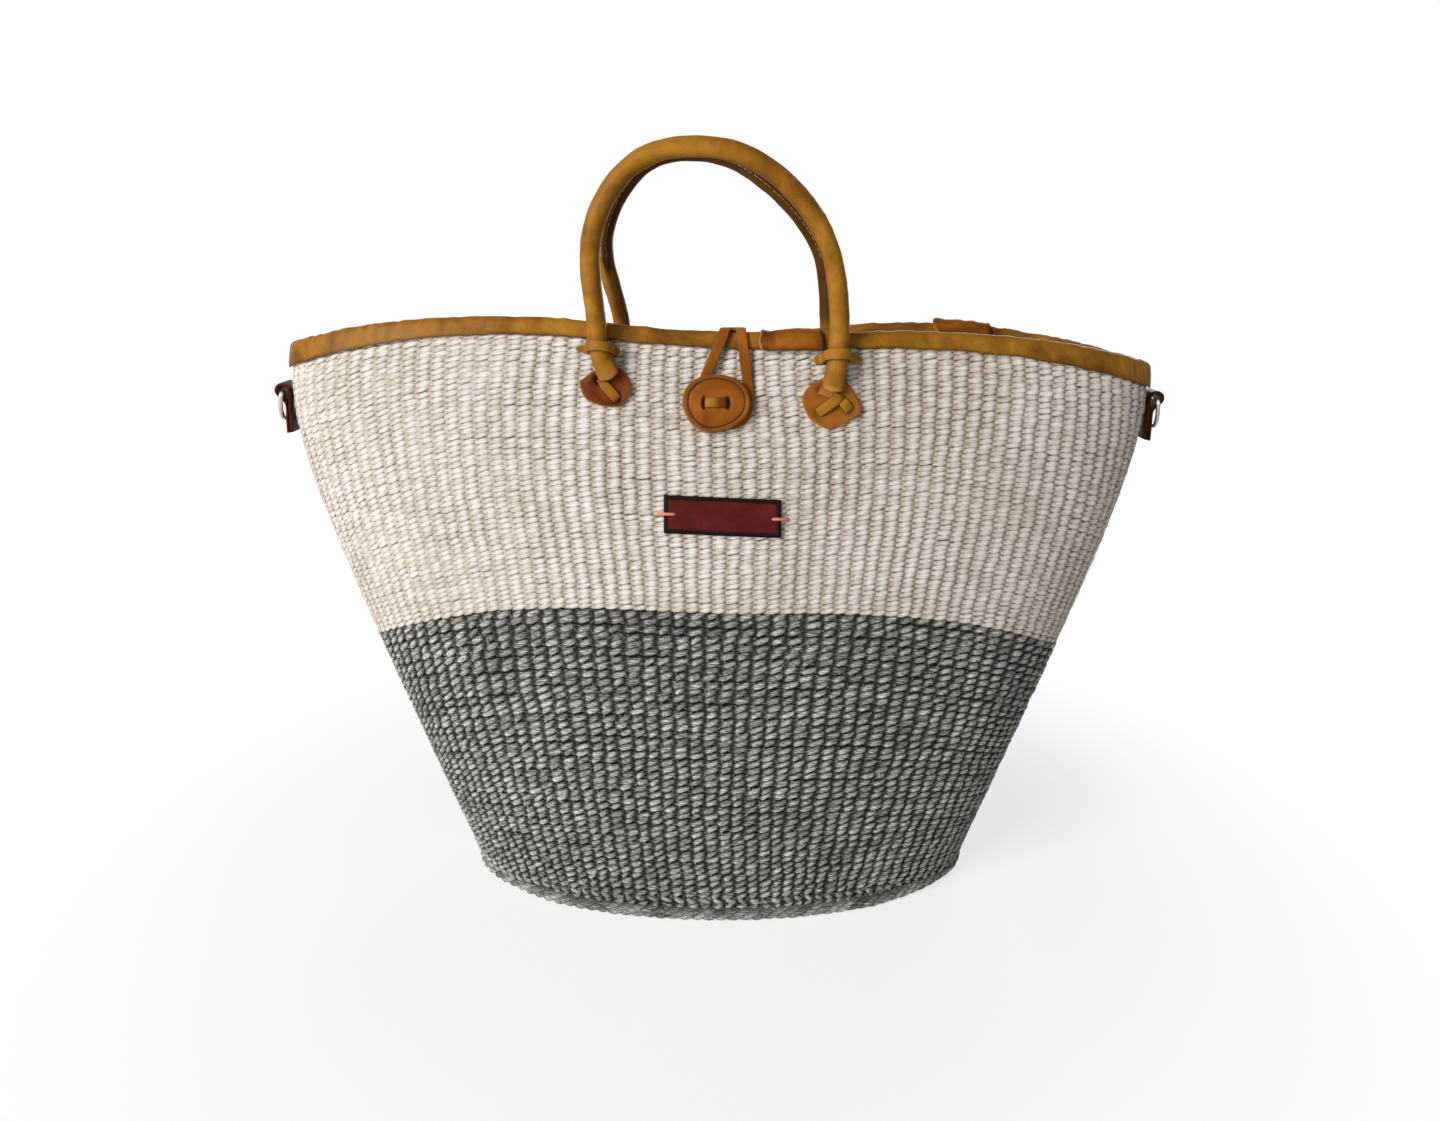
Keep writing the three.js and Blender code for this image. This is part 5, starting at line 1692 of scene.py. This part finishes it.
@dataclass
class ClosingStrap:
    """The strap from inside the back wall over the front rim, forked round the button's stem."""

    left: float = 0.0
    width: float = 13.4
    leg_width: float = 5.4
    thickness: float = 1.5
    swell: float = 0.1
    samples: int = 400
    anchor_low: float = 282.0
    anchor_length: float = 20.0
    button: Button = field(default_factory=Button)
    line: Points = field(init=False)
    length: float = field(init=False)
    top: float = field(init=False)
    stem: float = field(init=False)

    def __post_init__(self) -> None:
        """Works out the line of the strap's underside and where it passes the rim and the button."""
        middle = self.left + self.width / 2
        inside = -(FORM.wall_thickness + 4 * GAP + self.thickness)
        top = FORM.wall_top(-np.pi / 2)
        phi = FORM.phi_at(middle, top, Side.FRONT)
        centre, along, out = FORM.rim_frame(phi)
        radius = FORM.binding_radius + 3.5 * GAP

        def over(degrees: float) -> Points:
            """A point over the rim."""
            angle = math.radians(degrees)
            return centre + radius * (math.cos(angle) * out + math.sin(angle) * along)

        def front(z: float, away: float) -> Points:
            """A point on the front wall."""
            return FORM.outside_wall(middle, z, Side.FRONT, away)

        def back(z: float) -> Points:
            """A point inside the back wall."""
            return FORM.outside_wall(middle, z, Side.BACK, inside)

        foot = FORM.binding_foot(-np.pi / 2)[2]
        anchor_top = self.anchor_low + self.anchor_length
        z = self.button.z
        points = np.array([
            back(self.anchor_low), back(self.anchor_low + self.anchor_length / 2), back(anchor_top),
            (over(150) + back(anchor_top)) / 2, over(130), over(90), over(40), over(0),
            front(foot - 2, FORM.binding_leather + 3 * GAP), front(z + 12, 2 * GAP), front(z, 1.6 * GAP),
            front(z - 10, 1.6 * GAP), front(z - 20, 1.6 * GAP),
        ])
        points[:, 0] = 0
        self.line = smooth_line(points, self.samples + 1)
        self.length = float(np.linalg.norm(np.diff(self.line, axis=0), axis=-1).sum())
        goals = over(90) * [0, 1, 1], front(z, 0) * [0, 1, 1]
        nearest = [np.linalg.norm(self.line - goal, axis=-1).argmin() for goal in goals]
        self.top, self.stem = (number * self.length / self.samples for number in nearest)

    def on_strap(self, x: Points, along: Points, height: Points) -> Points:
        """A point on the strap from its place across, along and above its underside."""
        share = np.clip(along / self.length, 0, 1) * self.samples
        ticks = np.arange(self.samples + 1)
        at, way = (
            np.stack([np.interp(share, ticks, values[:, k]) for k in range(3)], -1)
            for values in (self.line, tangents(self.line))
        )
        point = at + np.asarray(height)[..., None] * np.cross(unit(way), [1.0, 0, 0])
        point[..., 0] = x
        return point

    def trunk(self) -> Mesh:
        """The uncut part of the strap."""
        along = np.linspace(0, self.top + 1, 90)
        middle = self.left + self.width / 2
        line = self.on_strap(middle + 0 * along, along, self.thickness / 2 + 0 * along)
        section = strap_section(24, self.width / 2, self.thickness / 2 + self.swell)
        return sweep("closing_strap_trunk", line, np.array([1.0, 0, 0]), section, edge=edge_wear(24, 0.93))

    def fork(self) -> Mesh:
        """The two legs of the strap, joined round the button's stem."""
        leg = self.leg_width / 2
        right = self.left + self.width
        button, stem, start = self.button, self.stem, self.top
        flat = smooth_line([
            (self.left + self.swell + leg, start), (self.left + self.swell + leg, start + 2.5),
            (self.left - 7.6, stem - 13), (button.x - button.slot_x - 5.2, stem), (button.x - 6, stem + 8),
            (button.x + 4, stem + 10.5), (right - 1.5, stem + 7), (right + 1.2, stem - 2),
            (right + 0.4, stem - 13), (right - self.swell - leg, start + 2.5),
            (right - self.swell - leg, start),
        ], 180)
        run = tangents(flat)
        high = self.thickness / 2 + 0 * flat[:, 0]
        line = self.on_strap(flat[:, 0], flat[:, 1], high)
        tip = self.on_strap(flat[:, 0] - 0.5 * run[:, 1], flat[:, 1] + 0.5 * run[:, 0], high)
        uneven = leg * (1 + 0.05 * cloud(91, np.linspace(0, 20, 180), 0.0))
        section = strap_section(20, uneven, self.thickness / 2)
        return sweep("closing_strap_fork", line, tip - line, section, edge=edge_wear(20, 0.82))

    def build(self) -> None:
        """Adds the strap."""
        for mesh in (self.trunk(), self.fork()):
            add_piece(mesh, "bag", "brown_leather", "closure_loop")


@dataclass
class Label:
    """The bare label on the front wall, held by a thread at each end."""

    x: float = 1.3
    z: float = 236.0
    width: float = 60.0
    height: float = 19.0
    thickness: float = 1.5
    tilt: float = math.radians(2.4)
    border: float = 2.3
    thread: float = 0.8

    def lay(self, x: Points, y: Points, h: Points) -> Points:
        """A point of the label on the wall."""
        return FORM.outside_wall(self.x + x, self.z + y - x * math.tan(self.tilt), Side.FRONT, h)

    def leather(self) -> Mesh:
        """The label itself."""
        sheet = Sheet(72, 150)
        back = (sheet.u > 0.5) & (sheet.u < 1)
        y = self.height / 2 * (1 - 2 * np.abs(2 * sheet.u - 1))
        x = self.width * (sheet.v - 0.5)
        inward = np.minimum(self.width / 2 - np.abs(x), self.height / 2 - np.abs(y))
        worn = 0.35 * cloud(95, x / 3 + 20, y / 3 + 20)
        groove = smooth_step(0.5, 0, np.abs(inward - self.border))
        round_edge = 0.5 * smooth_step(0.9, 0, inward) + 0.25 * groove
        face = GAP + self.thickness - round_edge + 0.1 * cloud(96, x / 6 + 20, y / 5 + 20)
        height = np.where(back, GAP, face)
        edge = smooth_step(self.border + 0.35, self.border - 0.35, inward + worn)
        points = self.lay(x, y, height)
        return sheet.bend("label_leather", points, caps=True, edge=edge)

    def end_thread(self, end: End) -> Mesh:
        """The thread at one end."""
        edge = end.value * self.width / 2
        inward = 5.5 if end is End.LEFT else -4.0
        outer = -3 * math.copysign(1, inward)
        top = GAP + self.thickness + GAP + self.thread
        line = smooth_line([
            (outer, -4.0), (outer, 0.6), (outer * 0.8, 1.6), (0, top), (inward - 0.15 * inward, top),
            (inward, top - 0.6), (inward, -4.0),
        ], 44)
        tilt = edge * math.tan(self.tilt)
        place = FORM.place_on_wall(self.x + edge, self.z - tilt, Side.FRONT)
        points = place.at(line[:, 0], 0.0, line[:, 1])
        return sweep(f"label_thread_{end.word}_ply", points, place.along, round_section(8, self.thread))

    def build(self) -> None:
        """Adds the label and its threads."""
        add_piece(self.leather(), "bag", "label_leather", "label")
        for end, slot in ((End.LEFT, "pink_thread"), (End.RIGHT, "orange_thread")):
            add_piece(self.end_thread(end), "bag", slot, f"label_thread_{end.word}")


@dataclass
class SideRing:
    """A leather tab at one end of the bag, folded over a D-shaped wire ring."""

    end: End
    drop: float
    width: float = 15.0
    leather: float = 1.6
    length: float = 27.0
    eye_radius: float = 2.7
    slit: float = 0.2
    wire: float = 1.15
    depth: float = 15.0
    side_play: float = 0.9
    thread: float = 0.5
    place: Place = field(init=False)
    outer: float = field(init=False)
    eye: Points = field(init=False)

    def __post_init__(self) -> None:
        """Works out the tab's place, the height of its outer face and the middle of its eye."""
        phi = 0.0 if self.end is End.RIGHT else np.pi
        top = FORM.binding_foot(phi)[2] - self.drop
        self.place = FORM.place_at(phi, FORM.row_at(phi, top))
        self.outer = GAP + 2 * self.leather + self.slit
        self.eye = np.array([GAP + self.leather + self.eye_radius, -(self.eye_radius + self.leather)])

    def tab(self) -> Mesh:
        """The folded strap."""
        bend = self.eye_radius + self.leather / 2
        angles = np.radians(range(180, -61, -30))
        arc = [self.eye + bend * np.array([math.cos(a), math.sin(a)]) for a in angles]
        back, front = GAP + self.leather / 2, self.outer - self.leather / 2
        path = smooth_line([
            (back, -self.length), (back, -0.6 * self.length), (back, self.eye[1] - 1), *arc,
            (front + 1.0, self.eye[1] - 5.4), (front, self.eye[1] - 7.5), (front, -0.7 * self.length),
            (front, -self.length - 0.4),
        ], 110)
        share = np.linspace(0, 1, 110)
        wide = self.width / 2 * (1 + 0.03 * cloud(101 + self.end.value, share * 9, 0.0))
        points = self.place.at(0.0, path[:, 1], path[:, 0])
        section = strap_section(24, wide, self.leather / 2)
        edge = 0.62 + 0.2 * edge_wear(24, 0.93)
        return sweep(f"{self.end.word}_tab_leather", points, self.place.right, section, edge=edge)

    def stitch(self) -> Mesh:
        """The thread that holds the tab."""
        y = -0.75 * self.length
        half = self.width / 4
        top = self.outer + GAP + self.thread
        line = smooth_line([
            (-half, -4), (-half, self.outer - 0.2), (-half + 0.6, top), (0, top + 0.1), (half - 0.6, top),
            (half, self.outer - 0.2), (half, -4),
        ], 40)
        points = self.place.at(line[:, 0], y, line[:, 1])
        return sweep(f"{self.end.word}_tab_stitch", points, self.place.along, round_section(8, self.thread))

    def ring(self) -> Mesh:
        """The wire ring, at rest with its bow down."""
        play = self.eye_radius - self.wire - GAP
        pin = self.eye + play * unit(np.array([-0.2, -1.0]))
        half = self.width / 2 + self.wire + self.side_play
        swing = math.asin((self.outer + 2 * GAP + 2 * self.thread + self.wire - pin[0]) / self.depth)
        bow = [(half * math.cos(a), self.depth * math.sin(a)) for a in np.linspace(np.pi, TURN, 13)]
        bow[0], bow[-1] = (-half, -1.0), (half, -1.0)
        flat = smooth_line([*bow, (half - 0.9, 0), (0, 0), (-half + 0.9, 0)], 121, closed=True)
        y, out = flat[:, 1] * math.cos(swing), -flat[:, 1] * math.sin(swing)
        points = self.place.at(flat[:, 0], pin[1] + y, pin[0] + out)
        across = math.cos(swing) * self.place.out + math.sin(swing) * self.place.along
        section = round_section(12, self.wire)
        return sweep(f"{self.end.word}_ring_wire", points, across, section, closed=True)

    def build(self) -> None:
        """Adds the tab, its thread and the ring."""
        name = self.end.word
        add_piece(self.tab(), "bag", "dark_leather", f"{name}_ring_tab")
        add_piece(self.stitch(), "bag", "brown_thread", f"{name}_tab_thread")
        add_piece(self.ring(), f"{name}_ring", "nickel", f"{name}_ring")


LAMPS = (  # each with its place, its size in metres and its power in watts
    ("key", (-1.5, -1.5, 1.1), 1.1, 58),
    ("fill", (1.1, -1.9, 0.8), 1.6, 3),
    ("back", (0.9, 2.0, 0.8), 1.4, 22),
)


@dataclass(frozen=True)
class Studio:
    """A pale floor, soft lamps and a camera where the photograph was taken from."""

    lens: float = 27.0
    camera_place: tuple[float, float, float] = (0.0, -0.5985, 0.3759)
    camera_tilt: float = 73.0
    floor_colour: str = "f6f6f4"
    ambient: float = 0.12
    aim_height: float = 0.17
    floor_half: float = 6.0
    fade_from: float = 0.2
    fade_to: float = 0.42
    glow_near: float = 0.72

    def lamp(self, name: str, place: tuple[float, float, float], size: float, power: float) -> None:
        """Adds a square lamp that points at the middle of the bag."""
        light = bpy.data.lights.new(name, "AREA")
        light.size = size
        light.energy = power
        lamp = put(name, light)
        lamp.location = place
        aim = np.array([0, 0, self.aim_height]) - np.array(place)
        flat = math.hypot(aim[0], aim[1])
        lamp.rotation_euler = (math.atan2(flat, -aim[2]), 0, math.atan2(-aim[0], aim[1]))

    def world(self) -> None:
        """Sets a white surround that lights the bag softly."""
        world = bpy.data.worlds.new("surround")
        world.use_nodes = True
        tree = world.node_tree
        tree.nodes.clear()
        path = add_node(tree, "LightPath").outputs
        rays = {0: path["Is Camera Ray"], 1: path["Is Glossy Ray"]}
        seen = add_node(tree, "Math", rays, operation="MAXIMUM")
        seen = add_node(tree, "Math", {0: seen, 1: path["Is Transmission Ray"]}, operation="MAXIMUM")
        strength = add_node(tree, "MapRange", {"Value": seen, "To Min": self.ambient})
        back = add_node(tree, "Background", {"Color": linear("ffffff"), "Strength": strength})
        add_node(tree, "OutputWorld", {"Surface": back})
        bpy.context.scene.world = world

    def floor(self) -> None:
        """Adds the floor, which fades to plain white for the camera some way from the bag."""
        work = bmesh.new()
        bmesh.ops.create_grid(work, x_segments=1, y_segments=1, size=self.floor_half)
        mesh = bpy.data.meshes.new("floor")
        work.to_mesh(mesh)
        work.free()
        floor = put("floor", mesh)
        material, tree = new_material("pale_floor")
        paint = {"Base Color": linear(self.floor_colour), "Roughness": 0.9, "Specular IOR Level": 0.0}
        shader = add_node(tree, "BsdfPrincipled", paint)
        space = add_node(tree, "TexCoord").outputs["Object"]
        away = add_node(tree, "VectorMath", {0: space}, operation="LENGTH").outputs["Value"]
        limits = {"Value": away, "From Min": self.fade_from, "From Max": self.fade_to}
        limits["To Min"] = self.glow_near
        fade = add_node(tree, "MapRange", limits, interpolation_type="SMOOTHSTEP")
        seen = add_node(tree, "LightPath").outputs["Is Camera Ray"]
        share = add_node(tree, "Math", {0: fade, 1: seen}, operation="MULTIPLY")
        glow = add_node(tree, "Emission", {"Color": linear("ffffff"), "Strength": 1.0})
        mix = add_node(tree, "MixShader", {0: share, 1: shader, 2: glow})
        add_node(tree, "OutputMaterial", {"Surface": mix})
        mesh.materials.append(material)

    def camera(self) -> None:
        """Adds the camera."""
        lens = bpy.data.cameras.new("camera")
        lens.lens = self.lens
        lens.sensor_width = 36.0
        camera = put("camera", lens)
        camera.location = self.camera_place
        camera.rotation_euler = (math.radians(self.camera_tilt), 0, 0)
        bpy.context.scene.camera = camera

    def build(self) -> None:
        """Sets up the studio."""
        self.camera()
        self.world()
        self.floor()
        for lamp in LAMPS:
            self.lamp(*lamp)
        bpy.context.scene.view_settings.view_transform = "Standard"


PALETTE: dict[str, bpy.types.Material] = {}
# a sisal's deep colour is painted shade between the stitches; a hide's edge colour is for cut edges and for
# painted shade
FINISHES = {
    "grey_sisal": SisalFinish(
        "dyed_grey_sisal", deep="060504", dark="262421", middle="8b8984", light="e2e0db", contrast=0.55
    ),
    "cream_sisal": SisalFinish(
        "raw_cream_sisal", deep="463619", dark="aa9c86", middle="d7cfc6", light="f1ede8", contrast=0.36
    ),
    "rope": ThreadFinish("laid_rope", dark="7a6440", light="b79d6c", ply=1.2),
    "tan_leather": LeatherFinish("tan_hide", dark="693f0c", middle="8f5f1a", light="a87626", edge="4a2a0a"),
    "brown_leather": LeatherFinish(
        "brown_hide", dark="683507", middle="8a4d10", light="a2621f", edge="321806", raw="b98442"
    ),
    "dark_leather": LeatherFinish(
        "dark_hide", dark="4e1e05", middle="74360a", light="8f4c17", edge="170903", raw="b2742c"
    ),
    "label_leather": LeatherFinish(
        "red_hide", dark="3c0d0c", middle="501413", light="62201c", roughness=0.5, edge="190605"
    ),
    "nickel": WireFinish("nickel_plated_wire"),
    "brown_thread": ThreadFinish("brown_waxed_thread", dark="160802", light="3a1d0b"),
    "pink_thread": ThreadFinish("pink_thread", dark="b4604e", light="e69a88"),
    "orange_thread": ThreadFinish("orange_thread", dark="b8583a", light="e8a07c"),
}


def main() -> None:
    """Builds the studio and the bag."""
    Studio().build()
    for slot, finish in FINISHES.items():
        PALETTE[slot] = finish.build()
    for node in ("rim_cord", "front_handle_core", "back_handle_core"):
        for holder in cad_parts[node].material_slots:
            holder.material = PALETTE["rope"]
    button = Button()
    parts = [
        WovenBand(
            "grey_band", "wall_grey_band", "grey_sisal", low_row=0.017, high_row=COLOUR_LINE, rows=44,
            columns=107, climb=0.24, fullness=0.47, tightness=0.6, seed=201, bead_tones=0.17,
            patch_tones=0.12, end_tone=0.34, gap_shade=0.95, reversed_rows=(1,), warp_depth=1.0,
            pit_width=0.68, pit_spread=0.85, unevenness=0.16,
        ),
        WovenBand(
            "cream_band", "wall_cream_band", "cream_sisal", low_row=COLOUR_LINE, high_row=1.0, rows=53,
            columns=132, climb=0.22, fullness=0.6, tightness=0.68, seed=301, bead_tones=0.12,
            patch_tones=0.14, end_tone=0.72, gap_shade=0.1, end_width=0.8, warp_depth=0.6, swing=1.45,
            half_thickness=0.6, parts=4, pit_width=0.6, pit_spread=0.1, lap=0.4, flat_left=0.45,
        ),
        LooseFibres("grey_loose_fibres", "grey_sisal", 0.02, COLOUR_LINE, count=1300, seed=211),
        LooseFibres("cream_loose_fibres", "cream_sisal", COLOUR_LINE, 0.97, count=1000, seed=311),
        Base(),
        Rim(),
        Handle(Side.FRONT, middle_x=-1.0, rise=82.0, lean=-11.0, swell=2.0, seed=401),
        Handle(Side.BACK, middle_x=3.0, rise=94.0, lean=-20.0, swell=6.0, seed=501),
        button,
        ClosingStrap(button=button),
        Label(),
        SideRing(End.RIGHT, drop=1.0),
        SideRing(End.LEFT, drop=8.0),
    ]
    for part in parts:
        log.info("building %s", type(part).__name__)
        part.build()


if __name__ == "__main__":
    logging.basicConfig(level=logging.INFO, format="%(message)s")
    main()
